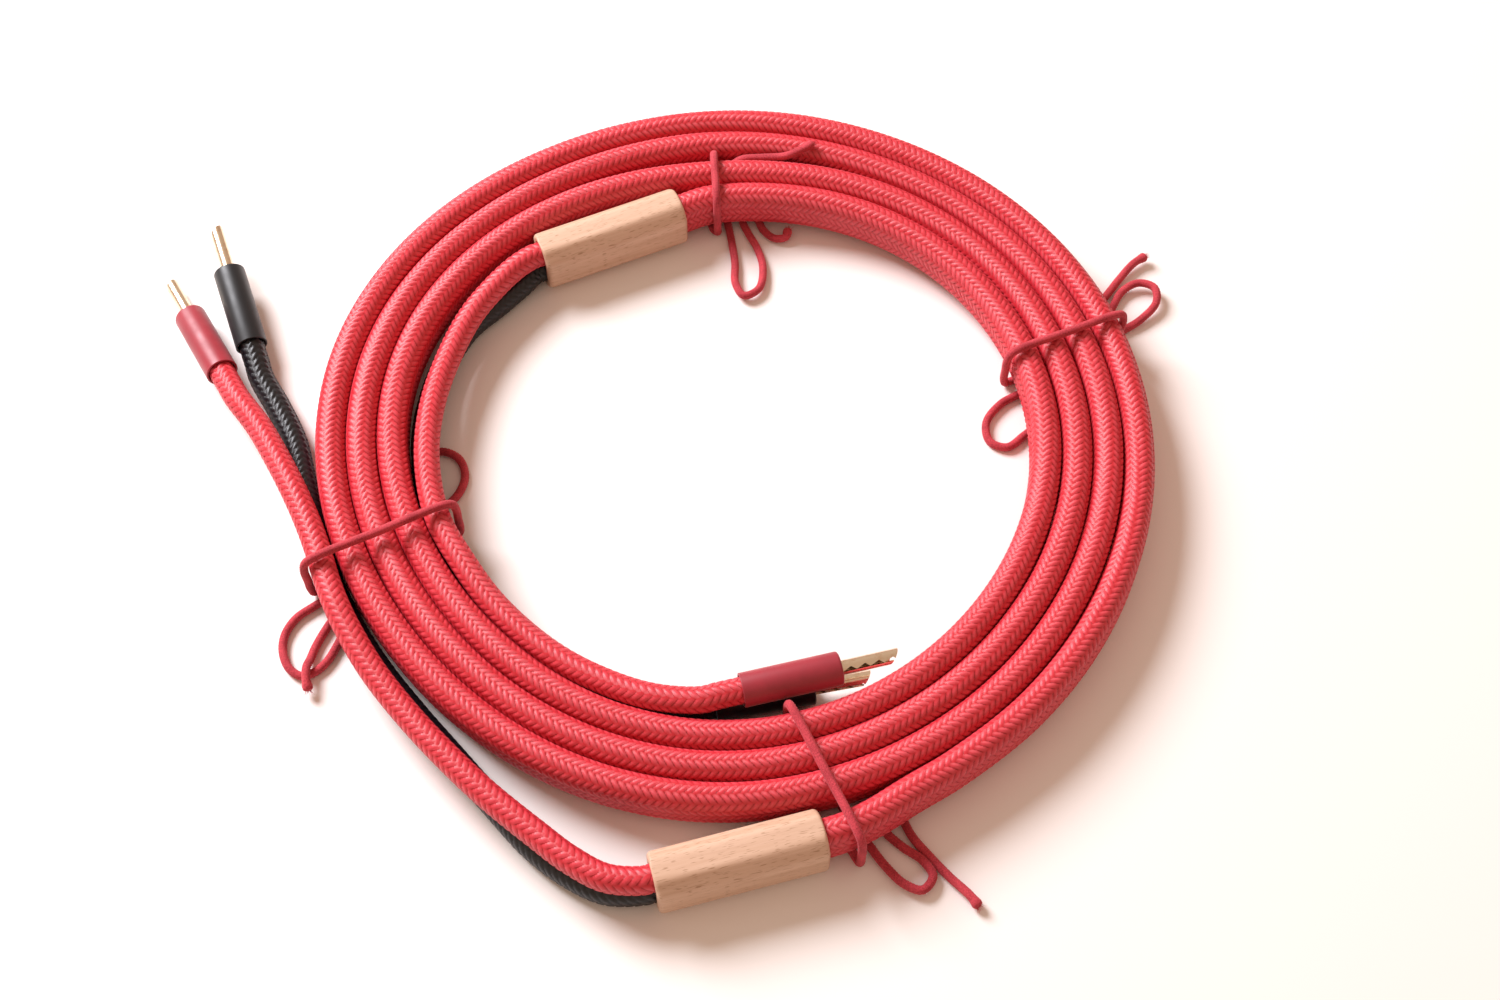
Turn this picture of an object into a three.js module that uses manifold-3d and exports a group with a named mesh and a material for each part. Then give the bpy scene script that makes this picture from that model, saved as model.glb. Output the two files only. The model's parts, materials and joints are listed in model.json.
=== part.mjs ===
// A stereo loudspeaker cable, wound flat and tied for storage.
// One braided two-core cable lies in a spiral of three and a half turns. A beech
// block at each end divides it into a red and a black braided leg, and each leg
// ends in a hollow rolled pin under a plastic sleeve that slides back along it.
// Millimetres, +Z up, the floor at z = 0, the origin under the middle of the whole.
import * as THREE from "three";
import { mergeVertices } from "three/addons/utils/BufferGeometryUtils.js";
import Module from "manifold-3d";

const wasm = await Module();
wasm.setup();

// ---- driving dimensions ----
const GAP = 0.3;

// main cable: two cores one above the other under one red braid
const CABLE_WIDTH = 8.4;
const CABLE_HEIGHT = 13.6;
const CABLE_SIDES_PER_END = 5;
const TURN_GAP = 0.4;
const COIL_X = 20.5;
const COIL_Y = 12;
const COIL_OUTER_RADIUS = 117.65;
const COIL_START_DEG = -60;
const COIL_END_DEG = 1164;
const COIL_STEP_DEG = 12;

// braided legs and the insulated cores inside them
const LEG_DIAMETER = 7.2;
const LEG_SIDES = 8;
const CORE_DIAMETER = 5.6;

// beech blocks
const BLOCK_LENGTH = 45.5;
const BLOCK_SIDE_WALL = 2.4;
const BLOCK_WALL = 0.85;
const BLOCK_CHAMFER = 3.5;
const BLOCK_EDGE = 0.6;
const BLOCK_BORE_DEPTH = 14;
const BORE_CLEARANCE = 0.4;

// plugs
const SLEEVE_LENGTH = 27.3;
const SLEEVE_CLEARANCE = 0.5;
const SLEEVE_WALL = 0.6;
const SLEEVE_FRONT = 2.2;
const SLEEVE_EDGE = 0.3;
const SLEEVE_TRAVEL = 10;
const PIN_DIAMETER = 4.1;
const PIN_WALL = 0.5;
const PIN_LENGTH = 16;
const PIN_TIP_SLANT_DEG = 55;
const PIN_SLOT = 0.7;
const PIN_SLOT_WAVE = 0.45;
const PIN_SLOT_WAVES = 4;
const PIN_SLOT_START = 1.5;
const BARREL_DIAMETER = 5.2;
const BARREL_LENGTH = 11;
const BARREL_WALL = 0.6;
const BARREL_SHOULDER = 0.8;
const BARREL_IN_NOSE = 1.2;
const STRANDS_SHORT = 3;
const CORE_BARE_LENGTH = 7;
const BAND_LENGTH = 5;
const STRANDS_CLEARANCE = 0.2;
const ROUND_SIDES = 20;
const BAND_SIDES = 16;
const ROD_SIDES = 12;

// cotton ties
const TIE_DIAMETER = 2.3;
const TIE_SIDES = 8;
const TIE_STEP = 5.5;
const TIE_CLEARANCE = 0.3;

// ---- sizes and heights that follow ----
const LEG_SPREAD = LEG_DIAMETER / 2 + GAP / 2;
const BLOCK_WIDTH = CABLE_WIDTH + 2 * BORE_CLEARANCE + 2 * BLOCK_SIDE_WALL;
const BLOCK_HEIGHT = 2 * LEG_SPREAD + LEG_DIAMETER + 2 * BORE_CLEARANCE + 2 * BLOCK_WALL;
const SLEEVE_BORE = LEG_DIAMETER + 2 * SLEEVE_CLEARANCE;
const SLEEVE_DIAMETER = SLEEVE_BORE + 2 * SLEEVE_WALL;
const BAND_DIAMETER = SLEEVE_BORE - 2 * GAP;
const STRANDS_DIAMETER = BARREL_DIAMETER - 2 * BARREL_WALL - 2 * STRANDS_CLEARANCE;
const CABLE_LIFT = TIE_DIAMETER + GAP;
const COIL_Z = CABLE_LIFT + CABLE_HEIGHT / 2;
const BLOCK_Z = BLOCK_HEIGHT / 2;
const TIE_FLOOR_Z = TIE_DIAMETER / 2 + 0.1;
const COIL_TOP = CABLE_LIFT + CABLE_HEIGHT;
const TURN_PITCH = CABLE_WIDTH + TURN_GAP;
const rad = THREE.MathUtils.degToRad;
const at = (x, y, z = 0) => new THREE.Vector3(x, y, z);

// ---- materials ----
const finish = (color, roughness, metalness = 0) =>
  new THREE.MeshStandardMaterial({ color, roughness, metalness });
const redBraid = finish("#c8323c", 0.6);
const blackBraid = finish("#1a1a1e", 0.6);
const redPlastic = finish("#a8323e", 0.5);
const blackPlastic = finish("#141416", 0.45);
const beech = finish("#dcb08c", 0.6);
const gold = finish("#e6cf9a", 0.25, 1);
const copper = finish("#b8704a", 0.35, 1);
const clearCoat = finish("#e4dfd2", 0.5);
const shrinkTube = finish("#202024", 0.5);
const redCotton = finish("#c2404c", 0.9);

const cableAssembly = new THREE.Group();

function addPiece(name, geometry, material, frame) {
  const mesh = new THREE.Mesh(geometry, material);
  mesh.name = name;
  (frame ?? cableAssembly).add(mesh);
  return mesh;
}

// ---- solids: to manifold and back, for cuts and joins ----
function solidFrom(geometry) {
  const bare = geometry.clone();
  bare.deleteAttribute("normal");
  bare.deleteAttribute("uv");
  const merged = mergeVertices(bare, 1e-4);
  return new wasm.Manifold(
    new wasm.Mesh({
      numProp: 3,
      vertProperties: new Float32Array(merged.attributes.position.array),
      triVerts: new Uint32Array(merged.index.array),
    }),
  );
}

function geometryFrom(solid) {
  const mesh = solid.getMesh();
  const geometry = new THREE.BufferGeometry();
  geometry.setAttribute("position", new THREE.BufferAttribute(mesh.vertProperties, 3));
  geometry.setIndex(new THREE.BufferAttribute(mesh.triVerts, 1));
  return geometry.toNonIndexed();
}

// ---- outlines ----
// An upright oval: two half circles of the given width, one above the other.
function ovalPoints(across, tall, sidesPerEnd) {
  const radius = across / 2;
  const rise = tall / 2 - radius;
  const points = [];
  for (let end = 0; end < 2; end += 1) {
    for (let i = 0; i <= sidesPerEnd; i += 1) {
      const a = Math.PI * (end + i / sidesPerEnd) - Math.PI / 2;
      const centre = end === 0 ? rise : -rise;
      points.push(new THREE.Vector2(centre + radius * Math.cos(a), radius * Math.sin(a)));
    }
  }
  return points;
}

function circlePoints(diameter, sides) {
  const points = [];
  for (let i = 0; i < sides; i += 1) {
    const a = (2 * Math.PI * (i + 0.5)) / sides;
    points.push(new THREE.Vector2(Math.cos(a), Math.sin(a)).multiplyScalar(diameter / 2));
  }
  return points;
}

// A path that an extrusion samples exactly at its own points.
class PointPath extends THREE.Curve {
  constructor(points) {
    super();
    this.points = points;
  }

  getPoint(t) {
    const last = this.points.length - 1;
    const i = Math.min(Math.floor(t * last), last - 1);
    return this.points[i].clone().lerp(this.points[i + 1], t * last - i);
  }

  getPointAt(u) {
    return this.getPoint(u);
  }

  getTangentAt(u) {
    return this.getTangent(u);
  }
}

function tubeAlong(points, section, step) {
  const curve = new THREE.CatmullRomCurve3(points, false, "centripetal");
  const steps = Math.max(2, Math.round(curve.getLength() / step));
  const path = new PointPath(curve.getSpacedPoints(steps));
  return new THREE.ExtrudeGeometry(new THREE.Shape(section), {
    steps,
    extrudePath: path,
    bevelEnabled: false,
  });
}

// ---- the coil's lay ----
// The radius falls by one pitch a turn, with a slight three-cornered wobble where
// it was tied. The two outer turns stand a little apart from the two inner ones
// at the top, where a tie passes down between them.
const TIE_ROOM = TIE_DIAMETER + 2 * TIE_CLEARANCE;
const TIE_ROOM_DEG = 93;
const TIE_ROOM_SPREAD_DEG = 22;
function coilRadius(degrees) {
  const a = rad(degrees);
  const wobble =
    -1.0 * Math.cos(a) -
    0.7 * Math.sin(a) -
    0.5 * Math.sin(2 * a) -
    0.3 * Math.cos(3 * a) +
    1.2 * Math.sin(3 * a) +
    0.3 * Math.cos(4 * a) -
    0.3 * Math.sin(4 * a);
  const turned = (((degrees + 90) % 360) + 360) % 360;
  const away = (turned - 90 - TIE_ROOM_DEG) / TIE_ROOM_SPREAD_DEG;
  const share = degrees < 540 ? 0.35 : -0.65;
  const opening = share * TIE_ROOM * Math.exp(-away * away);
  return COIL_OUTER_RADIUS - (TURN_PITCH * degrees) / 360 + wobble + opening;
}

function coilPoint(degrees, outward = 0, z = COIL_Z) {
  const radius = coilRadius(degrees) + outward;
  const a = rad(degrees);
  return at(COIL_X + radius * Math.cos(a), COIL_Y + radius * Math.sin(a), z);
}

// ---- blocks: where each stands, from its cable mouth to its leg mouth ----
const blockA = { name: "a", cableMouth: at(45, -111), heading: 195.3 };
const blockB = { name: "b", cableMouth: at(4.4, 93.3), heading: 203.5 };

function alongBlock(block, distance, z = BLOCK_Z) {
  const a = rad(block.heading);
  return at(
    block.cableMouth.x + distance * Math.cos(a),
    block.cableMouth.y + distance * Math.sin(a),
    z,
  );
}

function addBlock(block) {
  const w = BLOCK_WIDTH / 2 - BLOCK_EDGE;
  const h = BLOCK_HEIGHT / 2 - BLOCK_EDGE;
  const c = BLOCK_CHAMFER;
  const outline = new THREE.Shape([
    new THREE.Vector2(w, -h + c),
    new THREE.Vector2(w, h - c),
    new THREE.Vector2(w - c, h),
    new THREE.Vector2(c - w, h),
    new THREE.Vector2(-w, h - c),
    new THREE.Vector2(-w, c - h),
    new THREE.Vector2(c - w, -h),
    new THREE.Vector2(w - c, -h),
  ]);
  const blank = new THREE.ExtrudeGeometry(outline, {
    depth: BLOCK_LENGTH - 2 * BLOCK_EDGE,
    bevelSize: BLOCK_EDGE,
    bevelThickness: BLOCK_EDGE,
    bevelSegments: 2,
  });
  blank.translate(0, 0, BLOCK_EDGE);
  const room = 2 * BORE_CLEARANCE;
  const legStack = 2 * LEG_SPREAD + LEG_DIAMETER;
  const bores = [
    [CABLE_WIDTH + room, CABLE_HEIGHT + room, -1, BLOCK_BORE_DEPTH],
    [CORE_DIAMETER + room, 2 * LEG_SPREAD + CORE_DIAMETER + room, 1, BLOCK_LENGTH - 1],
    [LEG_DIAMETER + room, legStack + room, BLOCK_LENGTH - BLOCK_BORE_DEPTH, BLOCK_LENGTH + 1],
  ];
  let solid = solidFrom(blank);
  for (const [across, tall, from, to] of bores) {
    const outlineOfBore = new THREE.Shape(ovalPoints(across, tall, 8));
    const cutter = new THREE.ExtrudeGeometry(outlineOfBore, { depth: to - from, bevelEnabled: false });
    cutter.rotateZ(Math.PI / 2);
    cutter.translate(0, 0, from);
    solid = solid.subtract(solidFrom(cutter));
  }
  const geometry = geometryFrom(solid);
  // local z runs along the block, local y stays upright
  geometry.rotateX(Math.PI / 2);
  geometry.rotateZ(rad(block.heading) + Math.PI / 2);
  const mesh = addPiece(`splitter_${block.name}`, geometry, beech);
  mesh.position.copy(alongBlock(block, 0));
}

function addBlockCores(block) {
  const from = BLOCK_BORE_DEPTH + GAP;
  const to = BLOCK_LENGTH - BLOCK_BORE_DEPTH - GAP;
  for (const [colour, side] of [["red", 1], ["black", -1]]) {
    const z = BLOCK_Z + side * LEG_SPREAD;
    const ends = [alongBlock(block, from, z), alongBlock(block, to, z)];
    const core = tubeAlong(ends, circlePoints(CORE_DIAMETER, ROD_SIDES), to - from);
    addPiece(`core_${colour}_in_splitter_${block.name}`, core, clearCoat);
  }
}

// ---- main cable ----
function cableRoute() {
  const inBlockA = alongBlock(blockA, BLOCK_BORE_DEPTH);
  const inBlockB = alongBlock(blockB, BLOCK_BORE_DEPTH);
  const leadIn = [
    inBlockA,
    alongBlock(blockA, BLOCK_BORE_DEPTH / 2),
    alongBlock(blockA, 0),
    at(51, -109.2, 9.3),
    at(58.5, -105.4, COIL_Z),
    at(68, -99.2, COIL_Z),
  ];
  const turns = [];
  for (let d = COIL_START_DEG; d <= COIL_END_DEG; d += COIL_STEP_DEG) turns.push(coilPoint(d));
  const leadOut = [
    at(13.6, 96.6, 9.2),
    alongBlock(blockB, 0),
    alongBlock(blockB, BLOCK_BORE_DEPTH / 2),
    inBlockB,
  ];
  return [...leadIn, ...turns, ...leadOut];
}

function addMainCable() {
  const route = cableRoute();
  const section = new THREE.Shape(ovalPoints(CABLE_WIDTH, CABLE_HEIGHT, CABLE_SIDES_PER_END));
  const geometry = new THREE.ExtrudeGeometry(section, {
    steps: route.length - 1,
    extrudePath: new PointPath(route),
    bevelEnabled: false,
  });
  addPiece("main_cable", geometry, redBraid);
}

// ---- plugs: mouth is the middle of the sleeve's rear end, front points at the pin ----
const plugs = {
  red_a: { mouth: at(-128.9, 34.1, 9.2), toward: at(-142.9, 57.9, 4.9), slotDeg: 250, tipDeg: 120 },
  black_a: { mouth: at(-122.2, 45.5, 6.4), toward: at(-131.4, 70.2, 9.2), slotDeg: 250, tipDeg: 150 },
  red_b: { mouth: at(23.7, -71.6, 14.7), toward: at(50.2, -65, 14.7), slotDeg: 163, tipDeg: 50 },
  black_b: { mouth: at(16.4, -71.3, 4.9), toward: at(43.2, -66, 4.9), slotDeg: 200, tipDeg: 50 },
};
for (const plug of Object.values(plugs)) {
  plug.direction = plug.toward.clone().sub(plug.mouth).normalize();
}
const behindMouth = (plug, distance) =>
  plug.mouth.clone().addScaledVector(plug.direction, -distance);

// distances along a plug's axis from the sleeve's mouth
const BARREL_FRONT = SLEEVE_LENGTH - SLEEVE_FRONT + BARREL_IN_NOSE;
const BARREL_REAR = BARREL_FRONT - BARREL_LENGTH;
const CORE_FRONT = BARREL_REAR - GAP;
const CORE_REAR = CORE_FRONT - CORE_BARE_LENGTH;
const LEG_END_IN_SLEEVE = CORE_REAR - GAP;
const STRAIGHT_BEHIND_SLEEVE = SLEEVE_TRAVEL + 1.5;

// ---- legs: each from its block to its plug, over points chosen by hand ----
const legRoutes = {
  red_a: [
    [-10.6, -122.9, 12.1],
    [-19.9, -117.9, 11.8],
    [-29.3, -110.6, 11.5],
    [-42.3, -99.9, 11.4],
    [-53.9, -88.9, 11.4],
    [-64.6, -77.5, 11.4],
    [-75.2, -64.5, 12.1],
    [-83.2, -52, 13.4],
    [-86.9, -44.9, 14],
    [-90.2, -37.2, 14],
    [-93.5, -28.2, 14],
    [-97.3, -19.2, 14],
    [-102.2, -9.2, 14],
    [-108.4, 2.1, 13.4],
    [-115.3, 13.6, 12.2],
  ],
  black_a: [
    [-10.6, -123.5, 4.3],
    [-20.2, -119, 3.9],
    [-30, -111.6, 3.8],
    [-42.2, -98.4, 3.8],
    [-53.6, -85.6, 3.8],
    [-64.4, -73.4, 3.9],
    [-74.4, -61.4, 4.8],
    [-82.2, -50.2, 6.3],
    [-86.3, -43.1, 6.3],
    [-89.6, -36.9, 6.3],
    [-92.7, -28.4, 6.3],
    [-95.7, -20, 6.3],
    [-99.3, -10, 6.2],
    [-101.8, -1.4, 5.6],
    [-105.8, 12, 4.9],
    [-111.8, 24, 4.7],
  ],
  red_b: [
    [-44.2, 70.6, 12.2],
    [-50.8, 62.6, 12],
    [-57, 52.5, 11.8],
    [-62.8, 36, 12],
    [-65.8, 19, 13],
    [-65.6, 1, 13.9],
    [-61.2, -17.7, 14],
    [-53.2, -31.8, 13.4],
    [-43.6, -44.7, 12],
    [-28.8, -58.3, 11.6],
    [-13.8, -67.4, 12.4],
    [0, -73, 13.9],
  ],
  black_b: [
    [-43, 70.2, 4.4],
    [-50, 62.6, 4],
    [-58.6, 53.6, 3.8],
    [-64, 42.6, 3.8],
    [-67.6, 27.6, 4.6],
    [-68.4, 12, 6.1],
    [-66.2, -3.3, 6.3],
    [-60.8, -17.5, 6.3],
    [-53.6, -30.8, 5.8],
    [-43.2, -45.3, 4.2],
    [-28.7, -58.3, 3.8],
    [-13.4, -67.7, 3.9],
    [-3, -72.3, 4.5],
  ],
};

function addLeg(key) {
  const [colour, end] = key.split("_");
  const block = end === "a" ? blockA : blockB;
  const plug = plugs[key];
  const z = BLOCK_Z + (colour === "red" ? LEG_SPREAD : -LEG_SPREAD);
  const route = [
    alongBlock(block, BLOCK_LENGTH - BLOCK_BORE_DEPTH, z),
    alongBlock(block, BLOCK_LENGTH - BLOCK_BORE_DEPTH / 2, z),
    alongBlock(block, BLOCK_LENGTH, z),
    alongBlock(block, BLOCK_LENGTH + 2.5, z),
    ...legRoutes[key].map((p) => at(...p)),
    behindMouth(plug, STRAIGHT_BEHIND_SLEEVE),
    behindMouth(plug, STRAIGHT_BEHIND_SLEEVE / 2),
    behindMouth(plug, -LEG_END_IN_SLEEVE),
  ];
  const leg = tubeAlong(route, circlePoints(LEG_DIAMETER, LEG_SIDES), 9);
  addPiece(`leg_${key}`, leg, colour === "red" ? redBraid : blackBraid);
}

// ---- turned and rolled pieces, each on its plug's axis, z = 0 at the sleeve's mouth ----
function latheRing(profile, sides = ROUND_SIDES) {
  const points = [...profile, profile[0]].map(([r, z]) => new THREE.Vector2(r, z));
  const geometry = new THREE.LatheGeometry(points, sides);
  geometry.rotateX(Math.PI / 2);
  return geometry;
}

function sleeveGeometry() {
  const outer = SLEEVE_DIAMETER / 2;
  const bore = SLEEVE_BORE / 2;
  const nose = BARREL_DIAMETER / 2 + GAP;
  const e = SLEEVE_EDGE;
  return latheRing([
    [bore, 0],
    [outer - e, 0],
    [outer, e],
    [outer, SLEEVE_LENGTH - e],
    [outer - e, SLEEVE_LENGTH],
    [nose, SLEEVE_LENGTH],
    [nose, SLEEVE_LENGTH - SLEEVE_FRONT],
    [bore, SLEEVE_LENGTH - SLEEVE_FRONT],
  ]);
}

// Angles are read round the plug's axis from its sideways direction towards up.
function pinGeometry(slotDeg, tipDeg) {
  const tube = PIN_DIAMETER / 2;
  const barrel = BARREL_DIAMETER / 2;
  const front = SLEEVE_LENGTH + PIN_LENGTH;
  let solid = solidFrom(
    latheRing([
      [barrel - BARREL_WALL, BARREL_REAR],
      [barrel, BARREL_REAR],
      [barrel, BARREL_FRONT],
      [tube, BARREL_FRONT + BARREL_SHOULDER],
      [tube, front],
      [tube - PIN_WALL, front],
      [tube - PIN_WALL, BARREL_FRONT],
      [barrel - BARREL_WALL, BARREL_FRONT - BARREL_SHOULDER],
    ]),
  );
  // the wavy slot of the rolled sheet, and the slanted tip that ends it
  const slotFrom = SLEEVE_LENGTH + PIN_SLOT_START;
  const slotLength = PIN_LENGTH - PIN_SLOT_START + 1;
  const edge = [];
  const samples = PIN_SLOT_WAVES * 6;
  for (let i = 0; i <= samples; i += 1) {
    const t = i / samples;
    const wave = PIN_SLOT_WAVE * Math.sin(2 * Math.PI * PIN_SLOT_WAVES * t);
    edge.push(new THREE.Vector2(wave, slotFrom + slotLength * t));
  }
  const lower = edge.map((p) => new THREE.Vector2(p.x - PIN_SLOT / 2, p.y));
  const upper = edge.map((p) => new THREE.Vector2(p.x + PIN_SLOT / 2, p.y)).reverse();
  const slot = new THREE.ExtrudeGeometry(new THREE.Shape([...lower, ...upper].reverse()), {
    depth: PIN_DIAMETER,
    bevelEnabled: false,
  });
  // the slot's sheet lies in x-z and cuts toward +y
  slot.rotateX(Math.PI / 2);
  slot.translate(0, PIN_DIAMETER, 0);
  slot.rotateZ(rad(slotDeg - 90));
  solid = solid.subtract(solidFrom(slot));
  const wedge = new THREE.BoxGeometry(3 * PIN_DIAMETER, 3 * PIN_DIAMETER, 2 * PIN_DIAMETER);
  wedge.translate(0, 0, PIN_DIAMETER);
  wedge.rotateX(rad(90 - PIN_TIP_SLANT_DEG));
  wedge.translate(0, tube, front);
  wedge.rotateZ(rad(tipDeg - 90));
  solid = solid.subtract(solidFrom(wedge));
  return geometryFrom(solid);
}

function rodGeometry(diameter, from, to) {
  const rod = new THREE.CylinderGeometry(diameter / 2, diameter / 2, to - from, ROD_SIDES);
  rod.rotateX(Math.PI / 2);
  rod.translate(0, 0, (from + to) / 2);
  return rod;
}

function addPlug(key) {
  const colour = key.split("_")[0];
  const plug = plugs[key];
  const frame = new THREE.Group();
  frame.position.copy(plug.mouth);
  const up = at(0, 0, 1);
  const sideways = new THREE.Vector3().crossVectors(up, plug.direction).normalize();
  const upright = new THREE.Vector3().crossVectors(plug.direction, sideways);
  frame.setRotationFromMatrix(
    new THREE.Matrix4().makeBasis(sideways, upright, plug.direction),
  );
  cableAssembly.add(frame);
  addPiece(
    `sleeve_${key}`,
    sleeveGeometry(),
    colour === "red" ? redPlastic : blackPlastic,
    frame,
  );
  addPiece(`pin_${key}`, pinGeometry(plug.slotDeg, plug.tipDeg), gold, frame);
  const strands = rodGeometry(STRANDS_DIAMETER, BARREL_REAR, BARREL_FRONT - STRANDS_SHORT);
  addPiece(`strands_${key}`, strands, copper, frame);
  addPiece(`core_${key}`, rodGeometry(CORE_DIAMETER, CORE_REAR, CORE_FRONT), clearCoat, frame);
  const bandBore = CORE_DIAMETER / 2 + GAP;
  const band = latheRing(
    [
      [bandBore, CORE_REAR],
      [BAND_DIAMETER / 2, CORE_REAR],
      [BAND_DIAMETER / 2, CORE_REAR + BAND_LENGTH],
      [bandBore, CORE_REAR + BAND_LENGTH],
    ],
    BAND_SIDES,
  );
  addPiece(`braid_band_${key}`, band, shrinkTube, frame);
}

// ---- ties: soft cotton cord round the turns, bow loops and tails on the floor ----
const TIE_STANDOFF = CABLE_WIDTH / 2 + TIE_CLEARANCE + TIE_DIAMETER / 2;
const CHORD_SHRINK = Math.cos(rad(COIL_STEP_DEG / 2));
const outsideTurn = (degrees) => coilPoint(degrees, TIE_STANDOFF, 0);
const insideTurn = (degrees) =>
  coilPoint(degrees, -TIE_STANDOFF - coilRadius(degrees) * (1 - CHORD_SHRINK), 0);

// The stretch that climbs at `from`, crosses the top and comes down at `to`.
function overTheTop(from, to, top) {
  const z = top + TIE_CLEARANCE + TIE_DIAMETER / 2;
  const span = to.clone().sub(from);
  const inward = span.clone().normalize();
  const place = (base, along, height) => base.clone().addScaledVector(inward, along).setZ(height);
  const middle = from.clone().addScaledVector(span, 0.5).setZ(z);
  return [
    place(from, 0.8, 1.7),
    place(from, 0, 4.5),
    place(from, 0, 8.5),
    place(from, 0, z - 4.4),
    place(from, 0.9, z - 1.3),
    place(from, 3.6, z),
    middle,
    place(to, -3.6, z),
    place(to, -0.9, z - 1.3),
    place(to, 0, z - 4.4),
    place(to, 0, 8.5),
    place(to, 0, 4.5),
    place(to, -0.8, 1.7),
  ];
}

const onFloor = (points) => points.map(([x, y, z]) => at(x, y, z ?? TIE_FLOOR_Z));

function tieTube(points) {
  return tubeAlong(points, circlePoints(TIE_DIAMETER, TIE_SIDES), TIE_STEP);
}

function addTies() {
  const legTop = CABLE_LIFT + 2 * LEG_DIAMETER + 2 * GAP + 0.2;

  // right: round all four turns, a loop on each side, one long tail outside
  const rightOut = outsideTurn(18.2);
  const rightIn = insideTurn(16.1 + 1080);
  addPiece(
    "tie_right",
    tieTube([
      ...onFloor([
        [148, 82, 2.6], [144, 79.4, 2.2], [139, 73.6, 1.6], [133.6, 66.4], [128, 60.4], [122, 57.6],
        [118.2, 54.2], [120, 50.6], [125, 51.6], [131, 56], [135.6, 62.4], [139.6, 69, 1.8],
        [144.6, 71.6, 2.6], [149.2, 69.6, 3], [149.4, 64.4, 2.6], [144.4, 58.6, 1.8], [138, 54.4],
        [130, 49.4], [116, 39.6], [106.6, 32.4], [100, 28.2], [95.4, 21.6], [96.2, 15], [101, 13.2],
        [106, 17], [113, 23.6], [124, 35], [132.4, 45.4],
      ]),
      ...overTheTop(rightOut, rightIn, COIL_TOP),
      ...onFloor([[103.4, 36.4], [108.4, 38.4]]),
    ]),
    redCotton,
  );

  // bottom: beside block A, loop and tail outside
  const besideBlock = at(1.4, -4.9);
  const bottomOut = outsideTurn(-75).add(besideBlock);
  const bottomIn = insideTurn(-80 + 1080);
  addPiece(
    "tie_bottom",
    tieTube([
      ...onFloor([
        [85, -127, 2], [82.6, -123.6, 1.8], [78, -118.8], [73.2, -113.4], [68.6, -107.6], [65.4, -101.6],
        [61.4, -98.4], [59, -101.4], [61.4, -106], [66, -110.4], [71, -114.2, 1.6], [73.4, -118.6, 2],
        [70.6, -122.4, 2.2], [66, -120.8, 2], [61.4, -116, 1.6], [57.4, -110.2], [51.4, -100.6],
        [44.4, -89.4], [37.6, -79.6],
      ]),
      ...overTheTop(bottomIn, bottomOut, COIL_TOP),
      ...onFloor([[52.6, -111.4], [50, -106.6]]),
    ]),
    redCotton,
  );

  // left: round the three turns and the legs on both sides of them
  const leftOut = at(-96.3, -35.3);
  const leftIn = at(-56.1, -15.7);
  addPiece(
    "tie_left",
    tieTube([
      ...onFloor([
        [-94, -66, 2.4], [-94.8, -62.6, 3.8], [-95, -59.4, 3.8], [-94.6, -55.8, 1.9], [-93.8, -52.1],
        [-91.8, -47.2], [-89.4, -42.8], [-86.6, -39.6], [-83.6, -39.8], [-83.6, -43], [-86, -46.8],
        [-87.8, -51.4], [-90, -56.2], [-92.9, -59.4], [-96.6, -60.8], [-100.2, -58.6], [-102.6, -53.4],
        [-102.6, -48.2], [-100.2, -43.2], [-96, -39.6], [-91.4, -36.4], [-84, -31.4], [-74, -26.4],
        [-61, -18.8],
      ]),
      ...overTheTop(leftIn, leftOut, legTop),
      ...onFloor([
        [-93, -31.8], [-88, -24], [-79, -8], [-71, 6], [-64.6, 11.6], [-58.8, 9.4], [-56.4, 3],
        [-58.4, -3.6], [-63, -8], [-68, -9.6],
      ]),
    ]),
    redCotton,
  );

  // top: round the two inner turns only, with a loop and a short tail inside and
  // the long tail in the groove above the second and third turns
  const topOut = coilPoint(93.3 + 720, TIE_STANDOFF, 0);
  const topIn = insideTurn(93.3 + 1080);
  const bow = tieTube([
    ...onFloor([
      [37.8, 92.6, 2.6], [37, 89.6, 2.2], [33.6, 89.6, 1.6], [30.2, 93], [28.2, 97.4], [25.6, 100.2],
      [23.6, 97.4], [25.2, 92.4], [28.2, 86], [30, 78, 1.6], [28.6, 69.8, 2], [24.2, 67.2, 2.2],
      [21.6, 72, 2], [21.4, 80, 1.6], [20.4, 88], [18.6, 98], [16.4, 106.6],
    ]),
    ...overTheTop(topOut, topIn, COIL_TOP),
    ...onFloor([[14.6, 93.4], [13.4, 98.4]]),
  ]);
  const grooveTail = tieTube(
    [
      [45.8, 113.9, 18], [41.6, 112.2, 16.7], [37, 111.3, 15], [30, 112, 13.4],
      [23.4, 112.1, 12.4], [20.4, 112, 9.6], [19.8, 112, 5.6], [19.4, 111.2, 2.2],
      [18.4, 106, TIE_FLOOR_Z], [18.2, 100, TIE_FLOOR_Z],
    ].map((p) => at(...p)),
  );
  addPiece("tie_top", geometryFrom(solidFrom(bow).add(solidFrom(grooveTail))), redCotton);
}

addBlock(blockA);
addBlock(blockB);
addBlockCores(blockA);
addBlockCores(blockB);
addMainCable();
for (const key of Object.keys(plugs)) {
  addLeg(key);
  addPlug(key);
}
addTies();

export default cableAssembly;
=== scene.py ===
"""A braided loudspeaker cable, wound flat and tied for storage, with a beech block at
each end that divides it into two braided legs with gold-plated pins.
Metres, +Z up, the floor at z = 0."""
import json
import math

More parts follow.
